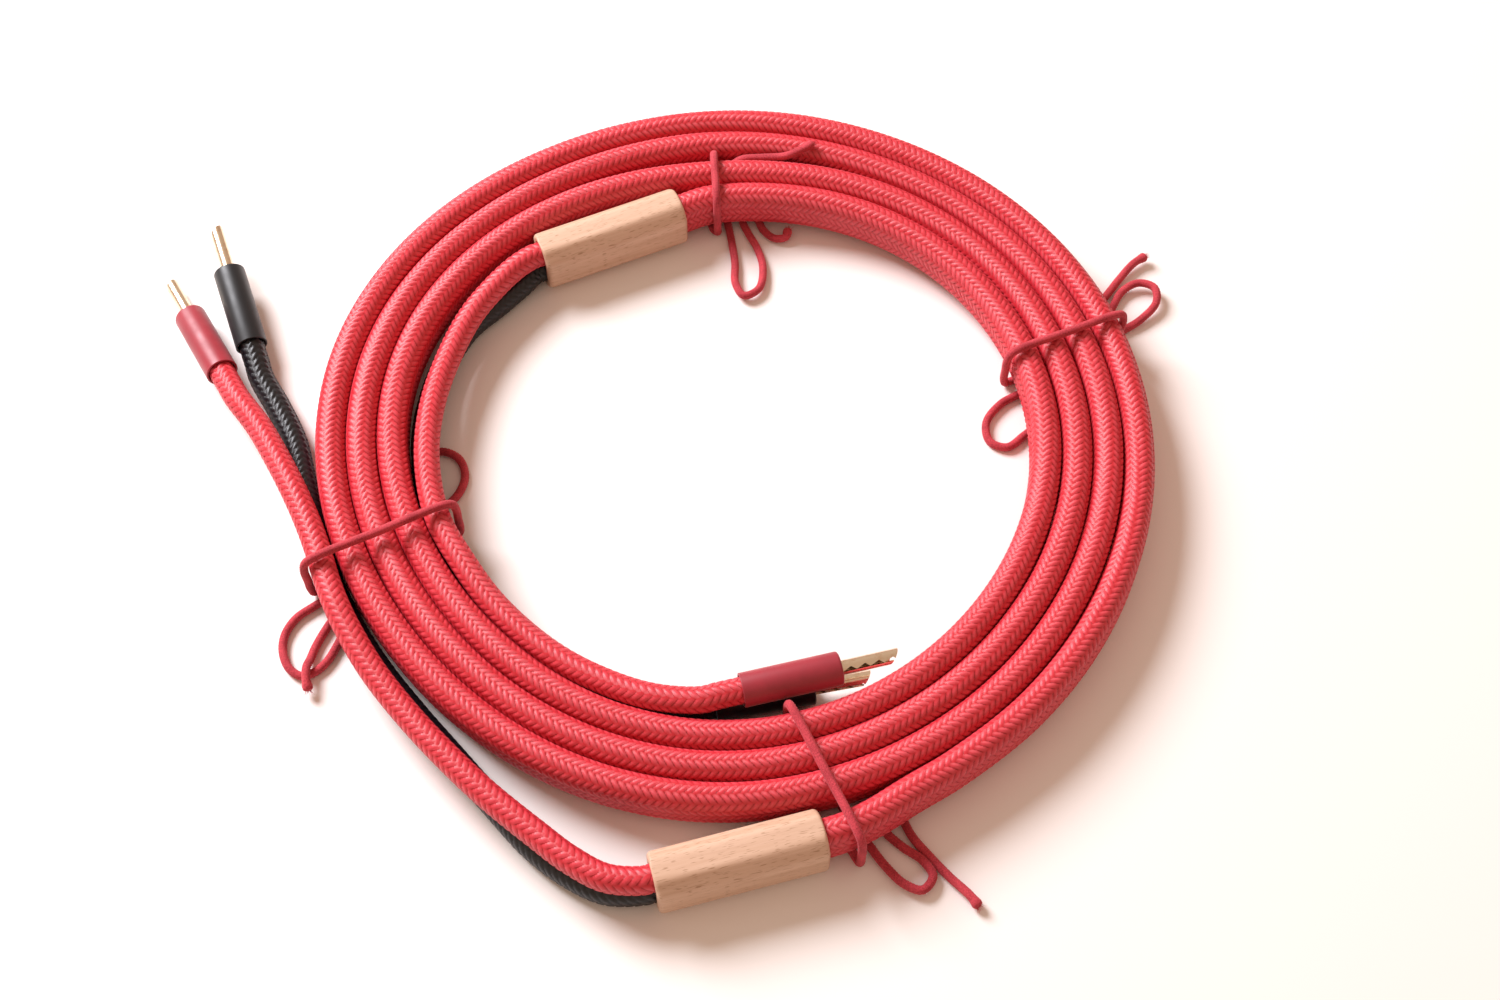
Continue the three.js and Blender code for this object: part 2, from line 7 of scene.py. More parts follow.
import bpy
import numpy as np
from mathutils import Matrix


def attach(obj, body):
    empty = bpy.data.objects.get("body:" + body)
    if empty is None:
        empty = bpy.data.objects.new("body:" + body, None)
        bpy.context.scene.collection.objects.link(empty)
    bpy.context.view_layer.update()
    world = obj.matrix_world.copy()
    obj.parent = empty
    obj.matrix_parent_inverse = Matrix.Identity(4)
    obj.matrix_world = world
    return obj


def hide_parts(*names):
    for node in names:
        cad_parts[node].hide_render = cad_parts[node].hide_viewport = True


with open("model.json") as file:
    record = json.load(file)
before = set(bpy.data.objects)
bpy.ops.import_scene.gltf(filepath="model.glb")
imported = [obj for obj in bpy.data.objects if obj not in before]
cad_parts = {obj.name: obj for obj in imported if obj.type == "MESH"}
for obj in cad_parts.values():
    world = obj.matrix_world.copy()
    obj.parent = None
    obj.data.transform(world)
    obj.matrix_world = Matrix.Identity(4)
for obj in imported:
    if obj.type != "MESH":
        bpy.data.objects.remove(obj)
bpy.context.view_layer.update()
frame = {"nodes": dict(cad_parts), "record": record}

MM = 0.001

# ---- camera ----
# It stands in front of the coil and looks down at it steeply, a little to the right
# of the middle.
CAMERA_TARGET = np.array([26, -4, 0]) * MM
CAMERA_DISTANCE = 600 * MM
CAMERA_ELEVATION = math.radians(59.2)

camera_data = bpy.data.cameras.new("camera")
camera_data.lens = 50
camera_data.sensor_width = 36
camera_data.clip_start = 0.01
camera = bpy.data.objects.new("camera", camera_data)
bpy.context.scene.collection.objects.link(camera)
camera.location = CAMERA_TARGET + CAMERA_DISTANCE * np.array(
    [0, -math.cos(CAMERA_ELEVATION), math.sin(CAMERA_ELEVATION)]
)
camera.rotation_euler = (math.pi / 2 - CAMERA_ELEVATION, 0, 0)
bpy.context.scene.camera = camera


# ---- the cable's lay ----
# The two-core cable leaves the first block, winds inwards for 3.4 turns and enters the
# second block. The turns stand on edge, side by side, 2.4 mm clear of the floor, where
# the ties pass under them. A real cable would sag to the floor between the ties.
CABLE_WIDTH = 8.4 * MM
CABLE_HEIGHT = 13.6 * MM
TURN_PITCH = 8.8 * MM
COIL_CENTRE = np.array([20.5, 12]) * MM
COIL_OUTER_RADIUS = 117.65 * MM
COIL_START_DEG = -60
COIL_END_DEG = 1164
COIL_STEP_DEG = 12
COIL_Z = 9.4 * MM
TIE_DIAMETER = 2.3 * MM
TIE_CLEARANCE = 0.3 * MM
BLOCK_LENGTH = 45.5 * MM
BLOCK_BORE_DEPTH = 14 * MM
BLOCK_Z = 8.6 * MM
BLOCKS = {
    "a": {"cable_mouth": np.array([45, -111]) * MM, "heading": 195.3},
    "b": {"cable_mouth": np.array([4.4, 93.3]) * MM, "heading": 203.5},
}


def coil_radius(degrees):
    """One pitch less for each turn, a slight three-cornered wobble, and a gap where
    the top tie passes down between the second and third turns."""
    a = np.radians(degrees)
    wobble = (
        -1.0 * np.cos(a) - 0.7 * np.sin(a) - 0.5 * np.sin(2 * a) - 0.3 * np.cos(3 * a)
        + 1.2 * np.sin(3 * a) + 0.3 * np.cos(4 * a) - 0.3 * np.sin(4 * a)
    ) * MM
    away = (np.mod(degrees + 90, 360) - 183) / 22
    share = np.where(np.asarray(degrees) < 540, 0.35, -0.65)
    opening = share * (TIE_DIAMETER + 2 * TIE_CLEARANCE) * np.exp(-away * away)
    return COIL_OUTER_RADIUS - TURN_PITCH * degrees / 360 + wobble + opening


def coil_point(degrees, outward=0.0, z=COIL_Z):
    """The point on the coil at an angle, moved outwards by a distance."""
    radius = coil_radius(degrees) + outward
    a = math.radians(degrees)
    x, y = COIL_CENTRE + radius * np.array([math.cos(a), math.sin(a)])
    return np.array([x, y, z])


def along_block(block, distance, z=BLOCK_Z):
    """The point at a distance from the block's cable mouth towards its legs."""
    a = math.radians(block["heading"])
    x, y = block["cable_mouth"] + distance * np.array([math.cos(a), math.sin(a)])
    return np.array([x, y, z])


def smooth_line(points, step):
    """A centripetal Catmull-Rom curve through the points, at even steps: each stretch
    is the cubic that leaves and arrives along the slopes set by its neighbours."""
    p = np.asarray(points, float)
    p = np.vstack([2 * p[0] - p[1], p, 2 * p[-1] - p[-2]])
    p0, p1, p2, p3 = p[:-3], p[1:-2], p[2:-1], p[3:]
    d0, d1, d2 = (np.sqrt(np.linalg.norm(b - a, axis=1))[:, None]
                  for a, b in ((p0, p1), (p1, p2), (p2, p3)))
    leave = ((p1 - p0) / d0 - (p2 - p0) / (d0 + d1) + (p2 - p1) / d1) * d1
    arrive = ((p2 - p1) / d1 - (p3 - p1) / (d1 + d2) + (p3 - p2) / d2) * d1
    t = np.linspace(0, 1, 40, endpoint=False)[None, :, None]
    a, b, m, n = (v[:, None, :] for v in (p1, p2, leave, arrive))
    fine = (2 * t**3 - 3 * t**2 + 1) * a + (t**3 - 2 * t**2 + t) * m
    fine = fine + (3 * t**2 - 2 * t**3) * b + (t**3 - t**2) * n
    fine = np.vstack([fine.reshape(-1, 3), p2[-1]])
    run = np.concatenate([[0], np.cumsum(np.linalg.norm(np.diff(fine, axis=0), axis=1))])
    even = np.linspace(0, run[-1], max(2, round(run[-1] / step)) + 1)
    return np.stack([np.interp(even, run, fine[:, k]) for k in range(3)], 1), run[-1]


cable_points = [
    along_block(BLOCKS["a"], BLOCK_BORE_DEPTH),
    along_block(BLOCKS["a"], BLOCK_BORE_DEPTH / 2),
    along_block(BLOCKS["a"], 0),
    np.array([51, -109.2, 9.3]) * MM,
    np.array([58.5, -105.4, 9.4]) * MM,
    np.array([68, -99.2, 9.4]) * MM,
]
for turned in range(COIL_START_DEG, COIL_END_DEG + 1, COIL_STEP_DEG):
    cable_points.append(coil_point(turned))
cable_points += [
    np.array([13.6, 96.6, 9.2]) * MM,
    along_block(BLOCKS["b"], 0),
    along_block(BLOCKS["b"], BLOCK_BORE_DEPTH / 2),
    along_block(BLOCKS["b"], BLOCK_BORE_DEPTH),
]


# ---- main cable: the braid ----
# Twenty-eight flat bundles of bright nylon yarn are plaited over the two cores, each
# over two and under two, so the lozenges lean by turns left and right in long columns.
# Its filaments are drawn about 0.1 mm across, several times coarser than real ones.
BRAID_COLUMNS = 14
BRAID_PITCH = 2.05 * MM
BRAID_RELIEF = 0.44 * MM
BRAID_SAMPLES = 5
BRAID_OUTLINE_HEIGHT = 0.12
CABLE_TWIST = 0.35
LONG_WANDER = 310 * MM
SHORT_WANDER = 113 * MM
FILAMENTS_PER_STRAND = 16.0
STRAND_LEAN = 0.14
CABLE_PIECES = 5


def braid_height(x, y):
    """Height of a two-over-two plait, -0.68 to 0.5, at x columns round and y lozenges
    along: the higher of two sets of strands that lean left and right, where a
    strand's section is a flattened arch and it rises and dips once in two columns."""
    over = 0.5 * np.cos(np.pi * (x - 0.25))
    left = 2 * np.mod(y - x, 1) - 1
    right = 2 * np.mod(y + x, 1) - 1
    arch_left = np.sqrt(1 - left**4)
    arch_right = np.sqrt(1 - right**4)
    return np.maximum(over + arch_left, arch_right - over) - 1


def oval(u, across, tall):
    """Points and outward directions on an upright oval, two half circles joined by
    straight sides, at distances u along its edge from the middle of its top."""
    radius = across / 2
    straight = tall - across
    arc = math.pi * radius
    u = np.mod(u + arc / 2, 2 * (arc + straight))
    first = u < arc
    down = (u >= arc) & (u < arc + straight)
    second = (u >= arc + straight) & (u < 2 * arc + straight)
    on_second = (u - arc - straight) / radius + math.pi
    a = np.where(first, u / radius, np.where(second, on_second, 0))
    a = np.where(down, math.pi, np.where(first | second, a, 2 * math.pi)) + math.pi
    rise = np.where(first, straight / 2, np.where(second, -straight / 2, 0))
    rise = np.where(down, straight / 2 - (u - arc), rise)
    rise = np.where(first | down | second, rise, u - 2 * arc - straight - straight / 2)
    out = np.stack([np.cos(a), -np.sin(a)], -1)
    return out * radius + np.stack([0 * rise, rise], -1), out


def level_frames(line):
    """Sideways and upward directions along a line that lies nearly flat: across the
    tangent and the vertical, and across those two."""
    tangent = np.gradient(line, axis=0)
    tangent /= np.linalg.norm(tangent, axis=1)[:, None]
    side = np.cross(tangent, [0, 0, 1])
    side /= np.linalg.norm(side, axis=1)[:, None]
    return side, np.cross(side, tangent)


def grid_mesh(name, grids, uv=None, ends="fan", sharp=None):
    """A mesh from one or more grids of points, rows along and closed columns round.
    Each pair of rows is joined by four-sided faces. The ends are closed by a fan to
    their middle, by a strip between their two halves, or joined to each other. Edges
    bent by more than the sharp angle, in degrees, are kept crisp."""
    vertices = []
    corners = []
    sizes = []
    start = 0
    for points in [grids] if isinstance(grids, np.ndarray) else grids:
        rows, columns = points.shape[:2]
        here = start + np.arange(rows * columns).reshape(rows, columns)
        if ends == "joined":
            here = np.vstack([here, here[:1]])
        across = np.roll(here, -1, 1)
        quads = np.stack([here[:-1], across[:-1], across[1:], here[1:]], -1)
        vertices.append(points.reshape(-1, 3))
        corners.append(quads.ravel())
        sizes.append(np.full(quads.size // 4, 4))
        start += rows * columns
        for row, flip in ((0, False), (-1, True)):
            ring = points[row]
            loop = start + np.arange(columns)
            if ends == "fan":
                middle = np.full(columns, start + columns)
                faces = [middle, np.roll(loop, -1), loop]
                ring = np.vstack([ring, ring.mean(0)])
            elif ends == "strip":
                half = loop[:columns // 2]
                facing = loop[::-1][:columns // 2]
                faces = [facing[:-1], facing[1:], half[1:], half[:-1]]
            else:
                continue
            faces = np.stack(faces[::-1] if flip else faces, -1)
            vertices.append(ring)
            corners.append(faces.ravel())
            sizes.append(np.full(*faces.shape))
            start += len(ring)
    vertices = np.vstack(vertices).astype(np.float32)
    corners = np.concatenate(corners).astype(np.int32)
    sizes = np.concatenate(sizes)
    mesh = bpy.data.meshes.new(name)
    mesh.vertices.add(len(vertices))
    mesh.vertices.foreach_set("co", vertices.ravel())
    mesh.loops.add(len(corners))
    mesh.loops.foreach_set("vertex_index", corners)
    mesh.polygons.add(len(sizes))
    mesh.polygons.foreach_set("loop_start", np.concatenate([[0], np.cumsum(sizes)[:-1]]))
    mesh.polygons.foreach_set("loop_total", sizes)
    mesh.polygons.foreach_set("use_smooth", np.ones(len(sizes), bool))
    mesh.update(calc_edges=True)
    if sharp:
        mesh.set_sharp_from_angle(angle=math.radians(sharp))
    if uv is not None:
        x, y = uv
        x_pair = np.stack([x[:-1], x[1:], x[1:], x[:-1]], -1)[None].repeat(len(y) - 1, 0)
        y_pair = np.stack([y[:-1], y[:-1], y[1:], y[1:]], -1)[:, None].repeat(len(x) - 1, 1)
        values = np.stack([x_pair, y_pair], -1).reshape(-1, 2)
        places = np.zeros((len(corners), 2), np.float32)
        places[: len(values)] = values
        mesh.uv_layers.new(name="weave").data.foreach_set("uv", places.ravel())
    piece = bpy.data.objects.new(name, mesh)
    bpy.context.scene.collection.objects.link(piece)
    return piece


def to_linear(code):
    """The linear colour, with alpha 1, of an sRGB hex code."""
    values = np.array([int(code[i:i + 2], 16) for i in (1, 3, 5)]) / 255
    linear = np.where(values <= 0.04045, values / 12.92, ((values + 0.055) / 1.055) ** 2.4)
    return (*linear, 1.0)


def new_material(name):
    """An empty node material and its tree."""
    material = bpy.data.materials.new(name)
    material.use_nodes = True
    material.node_tree.nodes.clear()
    return material, material.node_tree


def add(tree, kind, inputs=None, **settings):
    """Adds a node with its settings and returns it. An input, named or numbered, is a
    value, a socket, or a node that gives its first output in use."""
    made = tree.nodes.new("ShaderNode" + kind)
    for name, value in settings.items():
        setattr(made, name, value)
    for key, value in (inputs or {}).items():
        named = [s for s in made.inputs if s.enabled and s.name == key]
        socket = named[0] if named else made.inputs[key]
        if isinstance(value, bpy.types.Node):
            value = next(s for s in value.outputs if s.enabled)
        if isinstance(value, bpy.types.NodeSocket):
            tree.links.new(value, socket)
        else:
            socket.default_value = value
    return made


def plaited_nylon(name, seam_shade, middle, bright, pitch, roughness, sheen):
    """Plaited bright nylon yarn. It repeats the plait's height from the weave map, so
    that the seams are sharp, darkens the seams between the strands with painted shade,
    lightens their crests with a painted highlight in streaks, draws the filaments along
    each strand, and stretches the gloss across them, so that strands leaning one way
    shine while the others do not."""
    material, tree = new_material(name)

    def calculate(operation, *values):
        """A maths node on the values."""
        return add(tree, "Math", dict(enumerate(values)), operation=operation)

    where = add(tree, "UVMap", uv_map="weave")
    x, y, _ = add(tree, "SeparateXYZ", {"Vector": where}).outputs
    phase = calculate("MULTIPLY_ADD", x, math.pi, -math.pi / 4)
    over = calculate("MULTIPLY", calculate("COSINE", phase), 0.5)
    heights = []
    places = []
    for across, along, sign in (("SUBTRACT", "ADD", 1.0), ("ADD", "SUBTRACT", -1.0)):
        strand = calculate(across, y, x)
        saw = calculate("MULTIPLY_ADD", calculate("FRACT", strand), 2.0, -1.0)
        steep = calculate("POWER", calculate("ABSOLUTE", saw), 4.0)
        arch = calculate("SQRT", calculate("SUBTRACT", 1.0, steep))
        heights.append(calculate("MULTIPLY_ADD", over, sign, arch))
        lengthwise = calculate("MULTIPLY", calculate(along, y, x), 0.9)
        crosswise = calculate("MULTIPLY", strand, FILAMENTS_PER_STRAND)
        places.append(add(tree, "CombineXYZ", {0: crosswise, 1: lengthwise, 2: 3.0 * sign}))
    height = calculate("MAXIMUM", *heights)
    leans_right = calculate("GREATER_THAN", heights[1], heights[0])
    place = add(
        tree, "Mix", {"Factor": leans_right, "A": places[0], "B": places[1]},
        data_type="VECTOR",
    )
    fibres = add(
        tree, "TexNoise", {"Vector": place, "Scale": 1.0, "Detail": 2.0, "Roughness": 0.6}
    )
    patches = add(tree, "TexNoise", {"Vector": where, "Scale": 0.35, "Detail": 2.0})
    # Painted shade: where the plait is low, in the seams between the strands, the colour is
    # darkened towards the seam shade colour.
    seam = add(
        tree, "MapRange", {"Value": height, "From Min": 0.36, "From Max": 0.95},
        interpolation_type="SMOOTHSTEP",
    )
    # Painted highlight: on the strands' crests the colour is lifted towards the bright colour,
    # broken into streaks and patches by noise.
    crest_highlight = add(tree, "MapRange", {"Value": height, "From Min": 0.8, "From Max": 1.45})
    streak = add(tree, "MapRange", {"Value": fibres, "From Min": 0.3, "From Max": 0.7})
    base = add(
        tree, "Mix", {"Factor": seam, "A": to_linear(seam_shade), "B": to_linear(middle)},
        data_type="RGBA",
    )
    highlight_streaks = calculate("MULTIPLY_ADD", streak, 0.5, calculate("MULTIPLY", patches, 0.5))
    share = calculate("MULTIPLY", crest_highlight, highlight_streaks)
    colour = add(
        tree, "Mix", {"Factor": share, "A": base, "B": to_linear(bright)}, data_type="RGBA"
    )
    relief = calculate("MULTIPLY_ADD", fibres, 0.3, calculate("MULTIPLY", seam, 0.7))
    bump = add(tree, "Bump", {"Height": relief, "Strength": 0.35, "Distance": pitch * 0.12})
    lean = calculate("MULTIPLY_ADD", leans_right, -2 * STRAND_LEAN, STRAND_LEAN)
    surface = add(
        tree, "BsdfPrincipled",
        {"Base Color": colour, "Roughness": roughness, "IOR": 1.53, "Normal": bump,
         "Anisotropic": 0.75, "Anisotropic Rotation": lean,
         "Tangent": add(tree, "Tangent", direction_type="UV_MAP", uv_map="weave"),
         "Sheen Weight": sheen, "Sheen Roughness": 0.35, "Sheen Tint": to_linear(bright)},
    )
    add(tree, "OutputMaterial", {"Surface": surface})
    return material


# Of the red braid's colours, the darkest is painted shade in the seams and the lightest is a
# painted highlight on the crests.
red_braid = plaited_nylon(
    "red plaited nylon", "#45020b", "#bc1623", "#e85765", BRAID_PITCH, 0.45, 0.1
)


def braided_rows(line, width, height, columns, pitch, relief, twist):
    """Rows of points round a braided cord: the oval outline carried along the line and
    raised by the plait's height above the height that lies on the outline. The columns
    wander round it by two slow sine waves."""
    side, up = level_frames(line)
    perimeter = math.pi * width + 2 * (height - width)
    x = np.arange(columns * BRAID_SAMPLES + 1) / BRAID_SAMPLES
    y = np.arange(len(line)) / BRAID_SAMPLES
    run = y * pitch
    wander = np.sin(2 * np.pi * run / LONG_WANDER)
    wander = twist * (wander + 0.5 * np.sin(2 * np.pi * run / SHORT_WANDER))
    u = (x[None, :-1] + wander[:, None]) * perimeter / columns
    section, out = oval(u, width, height)
    raised = relief * (braid_height(x[None, :-1], y[:, None]) - BRAID_OUTLINE_HEIGHT)
    section = section + out * raised[..., None]
    rows = line[:, None] + section[..., :1] * side[:, None] + section[..., 1:] * up[:, None]
    return rows, x, y


cable_line, cable_length = smooth_line(cable_points, BRAID_PITCH / BRAID_SAMPLES)
cable_rows, cable_x, cable_y = braided_rows(
    cable_line, CABLE_WIDTH, CABLE_HEIGHT, BRAID_COLUMNS, BRAID_PITCH, BRAID_RELIEF,
    CABLE_TWIST,
)
cuts = np.linspace(0, len(cable_line) - 1, CABLE_PIECES + 1).astype(int)
for number, (first, last) in enumerate(zip(cuts[:-1], cuts[1:]), 1):
    stretch = slice(first, last + 1)
    jacket = grid_mesh(
        f"main_cable_braid_{number}", cable_rows[stretch], (cable_x, cable_y[stretch])
    )
    jacket.data.materials.append(red_braid)
    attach(jacket, "cable")

# ---- main cable: the cores under the braid ----
# Two insulated copper cores lie one above the other, drawn as the one oval that they
# fill. The braid hides it, and it is coloured like the braid.
CORE_SIDES = 24
CORE_STEP = 4 * MM
CORE_INSET = 0.55 * MM
core_line, _ = smooth_line(cable_points, CORE_STEP)
side, up = level_frames(core_line)
core_perimeter = math.pi * CABLE_WIDTH + 2 * (CABLE_HEIGHT - CABLE_WIDTH)
core_section, core_out = oval(
    np.arange(CORE_SIDES) * core_perimeter / CORE_SIDES, CABLE_WIDTH, CABLE_HEIGHT
)
core_section = core_section - core_out * CORE_INSET
core_rows = core_line[:, None] + core_section[None, :, :1] * side[:, None]
core_rows = core_rows + core_section[None, :, 1:] * up[:, None]
cable_core = grid_mesh("main_cable_cores", core_rows)
cable_core.data.materials.append(red_braid)
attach(cable_core, "cable")
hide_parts("main_cable")

# ---- legs ----
# Each block lets out a red leg above a black one, single cores under the same plait.
# Those of the first block run round the outside to the left, those of the second
# round the inside, and each straightens as it enters its plug's sleeve.
LEG_DIAMETER = 7.2 * MM
LEG_COLUMNS = 8
LEG_PITCH = 2.2 * MM
LEG_RELIEF = 0.42 * MM
LEG_TWIST = 0.3
LEG_STRAIGHT_OUT = 2.5 * MM
LEG_SPREAD = 3.75 * MM
LEG_RISE = {"red": LEG_SPREAD, "black": -LEG_SPREAD}
SLEEVE_LENGTH = 27.3 * MM
SEAT_POINT_RADIUS = 3.7 * MM
STRAIGHT_BEHIND_SLEEVE = 11.5 * MM
LEG_END_IN_SLEEVE = 7.7 * MM
# Of the black braid's colours, the darkest is painted shade in the seams and the lightest is a
# painted highlight on the crests.
black_braid = plaited_nylon(
    "black plaited nylon", "#010102", "#06070a", "#191d24", LEG_PITCH, 0.4, 0.02
)
LEG_BRAIDS = {"red": red_braid, "black": black_braid}
PLUGS = {}
for mount in frame["record"]["mounts"]:
    if mount["name"].startswith("seat_"):
        direction = np.array(mount["axis"])
        sideways = np.cross([0, 0, 1], direction)
        sideways /= np.linalg.norm(sideways)
        front = np.array(mount["pos_m"]) - SEAT_POINT_RADIUS * sideways
        PLUGS[mount["name"][5:]] = {
            "mouth": front - SLEEVE_LENGTH * direction,
            "direction": direction,
            "sideways": sideways,
            "upright": np.cross(direction, sideways),
        }

LEG_ROUTES = {
    "red_a": [
        [-10.6, -122.9, 12.1], [-19.9, -117.9, 11.8], [-29.3, -110.6, 11.5],
        [-42.3, -99.9, 11.4], [-53.9, -88.9, 11.4], [-64.6, -77.5, 11.4],
        [-75.2, -64.5, 12.1], [-83.2, -52, 13.4], [-86.9, -44.9, 14], [-90.2, -37.2, 14],
        [-93.5, -28.2, 14], [-97.3, -19.2, 14], [-102.2, -9.2, 14], [-108.4, 2.1, 13.4],
        [-115.3, 13.6, 12.2],
    ],
    "black_a": [
        [-10.6, -123.5, 4.3], [-20.2, -119, 3.9], [-30, -111.6, 3.8], [-42.2, -98.4, 3.8],
        [-53.6, -85.6, 3.8], [-64.4, -73.4, 3.9], [-74.4, -61.4, 4.8], [-82.2, -50.2, 6.3],
        [-86.3, -43.1, 6.3], [-89.6, -36.9, 6.3], [-92.7, -28.4, 6.3], [-95.7, -20, 6.3],
        [-99.3, -10, 6.2], [-101.8, -1.4, 5.6], [-105.8, 12, 4.9], [-111.8, 24, 4.7],
    ],
    "red_b": [
        [-44.2, 70.6, 12.2], [-50.8, 62.6, 12], [-57, 52.5, 11.8], [-62.8, 36, 12],
        [-65.8, 19, 13], [-65.6, 1, 13.9], [-61.2, -17.7, 14], [-53.2, -31.8, 13.4],
        [-43.6, -44.7, 12], [-28.8, -58.3, 11.6], [-13.8, -67.4, 12.4], [0, -73, 13.9],
    ],
    "black_b": [
        [-43, 70.2, 4.4], [-50, 62.6, 4], [-58.6, 53.6, 3.8], [-64, 42.6, 3.8],
        [-67.6, 27.6, 4.6], [-68.4, 12, 6.1], [-66.2, -3.3, 6.3], [-60.8, -17.5, 6.3],
        [-53.6, -30.8, 5.8], [-43.2, -45.3, 4.2], [-28.7, -58.3, 3.8], [-13.4, -67.7, 3.9],
        [-3, -72.3, 4.5],
    ],
}
for key, plug in PLUGS.items():
    colour, end = key.split("_")
    block = BLOCKS[end]
    level = BLOCK_Z + LEG_RISE[colour]
    leg_points = [
        along_block(block, BLOCK_LENGTH - BLOCK_BORE_DEPTH, level),
        along_block(block, BLOCK_LENGTH - BLOCK_BORE_DEPTH / 2, level),
        along_block(block, BLOCK_LENGTH, level),
        along_block(block, BLOCK_LENGTH + LEG_STRAIGHT_OUT, level),
        *(np.array(LEG_ROUTES[key]) * MM),
        plug["mouth"] - STRAIGHT_BEHIND_SLEEVE * plug["direction"],
        plug["mouth"] - STRAIGHT_BEHIND_SLEEVE / 2 * plug["direction"],
        plug["mouth"] + LEG_END_IN_SLEEVE * plug["direction"],
    ]
    leg_line, leg_length = smooth_line(leg_points, LEG_PITCH / BRAID_SAMPLES)
    leg_rows, leg_x, leg_y = braided_rows(
        leg_line, LEG_DIAMETER, LEG_DIAMETER, LEG_COLUMNS, LEG_PITCH, LEG_RELIEF, LEG_TWIST
    )
    leg = grid_mesh(f"leg_{key}_braid", leg_rows, (leg_x, leg_y))
    leg.data.materials.append(LEG_BRAIDS[colour])
    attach(leg, "cable")
    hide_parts(f"leg_{key}")

# ---- splitters ----
# Two blocks of oiled beech, sawn with the grain, chamfered along and sanded round at
# the ends. A deep upright oval bore takes the cable, and one at the other end the legs.
BLOCK_WIDTH = 14 * MM
BLOCK_HEIGHT = 17.2 * MM
BLOCK_CHAMFER = 3.5 * MM
BLOCK_CORNER_SHARPNESS = 22
BLOCK_END_ROUND = 1.4 * MM
BLOCK_END_WALL_SHARE = 0.6
BORE_CLEARANCE = 0.4 * MM
BORE_EDGE = 0.3 * MM
CORE_DIAMETER = 5.6 * MM
BLOCK_COLUMNS = 128
BLOCK_BODY_ROWS = 9
BLOCK_BODY_INSET = 2 * MM


def oval_reach(angle, across, tall):
    """Distance from an upright oval's middle to its edge: to the straight side, or
    past its end to the half circle there."""
    radius = across / 2
    straight = tall / 2 - radius
    sideways = np.maximum(np.abs(np.cos(angle)), 1e-9)
    upright = np.abs(np.sin(angle))
    to_side = radius / sideways
    to_end = straight * upright + np.sqrt(
        np.maximum(radius**2 - (straight * sideways) ** 2, 0)
    )
    return np.where(to_side * upright <= straight, to_side, to_end)


def block_reach(angle):
    """Distance from the block's middle to its chamfered outline. The eight flat sides
    are blended by a high power of each one's nearness, which rounds the corners."""
    width, height = BLOCK_WIDTH / 2, BLOCK_HEIGHT / 2
    slant = (width + height - BLOCK_CHAMFER) / math.sqrt(2)
    nearness = 0
    for number in range(8):
        facing = np.maximum(np.cos(angle - number * math.pi / 4), 0)
        flat = (width, slant, height, slant)[number % 4]
        nearness = nearness + (facing / flat) ** BLOCK_CORNER_SHARPNESS
    return nearness ** (-1 / BLOCK_CORNER_SHARPNESS)


def beech(name, place, heading):
    """Oiled beech: broad soft bands along the grain and many short brown flecks, a few
    millimetres long and a quarter wide. The grain runs along the block."""
    material, tree = new_material(name)
    turned = add(
        tree, "Mapping",
        {"Vector": add(tree, "TexCoord").outputs["Object"], "Location": place,
         "Rotation": (0, 0, heading)},
        vector_type="TEXTURE",
    )

    def grain(lengthwise, crosswise, detail, distortion=0.0):
        """Noise with a real length along the block and a real width across it."""
        stretched = add(
            tree, "VectorMath",
            {0: turned, 1: (1 / lengthwise, 1 / crosswise, 1 / crosswise)},
            operation="MULTIPLY",
        )
        return add(
            tree, "TexNoise",
            {"Vector": stretched, "Scale": 1.0, "Detail": detail, "Distortion": distortion},
        )

    bands = grain(38 * MM, 2.6 * MM, 2.0, 0.6)
    fine = grain(9 * MM, 0.35 * MM, 2.0)
    flecks = grain(2.4 * MM, 0.26 * MM, 0.0)
    tone = add(tree, "MapRange", {"Value": bands, "From Min": 0.3, "From Max": 0.7})
    base = add(
        tree, "Mix", {"Factor": tone, "A": to_linear("#c39f84"), "B": to_linear("#d3b299")},
        data_type="RGBA",
    )
    line = add(
        tree, "MapRange",
        {"Value": fine, "From Min": 0.5, "From Max": 0.75, "To Max": 0.35},
    )
    lined = add(
        tree, "Mix", {"Factor": line, "A": base, "B": to_linear("#b8927a")}, data_type="RGBA"
    )
    dash = add(
        tree, "MapRange",
        {"Value": flecks, "From Min": 0.66, "From Max": 0.76, "To Max": 0.75},
    )
    colour = add(
        tree, "Mix", {"Factor": dash, "A": lined, "B": to_linear("#9c7658")},
        data_type="RGBA",
    )
    depth = add(tree, "Math", {0: dash, 1: line}, operation="ADD")
    bump = add(tree, "Bump", {"Height": depth, "Strength": 0.35, "Distance": 0.06 * MM})
    surface = add(
        tree, "BsdfPrincipled",
        {"Base Color": colour, "Roughness": 0.55, "IOR": 1.5, "Normal": bump},
    )
    add(tree, "OutputMaterial", {"Surface": surface})
    return material


block_angles = 2 * np.pi * np.arange(BLOCK_COLUMNS) / BLOCK_COLUMNS
block_outline = block_reach(block_angles)
core_bore = oval_reach(
    block_angles, CORE_DIAMETER + 2 * BORE_CLEARANCE,
    2 * LEG_SPREAD + CORE_DIAMETER + 2 * BORE_CLEARANCE,
)
cable_bore = oval_reach(
    block_angles, CABLE_WIDTH + 2 * BORE_CLEARANCE, CABLE_HEIGHT + 2 * BORE_CLEARANCE
)
legs_bore = oval_reach(
    block_angles, LEG_DIAMETER + 2 * BORE_CLEARANCE,
    2 * LEG_SPREAD + LEG_DIAMETER + 2 * BORE_CLEARANCE,
)


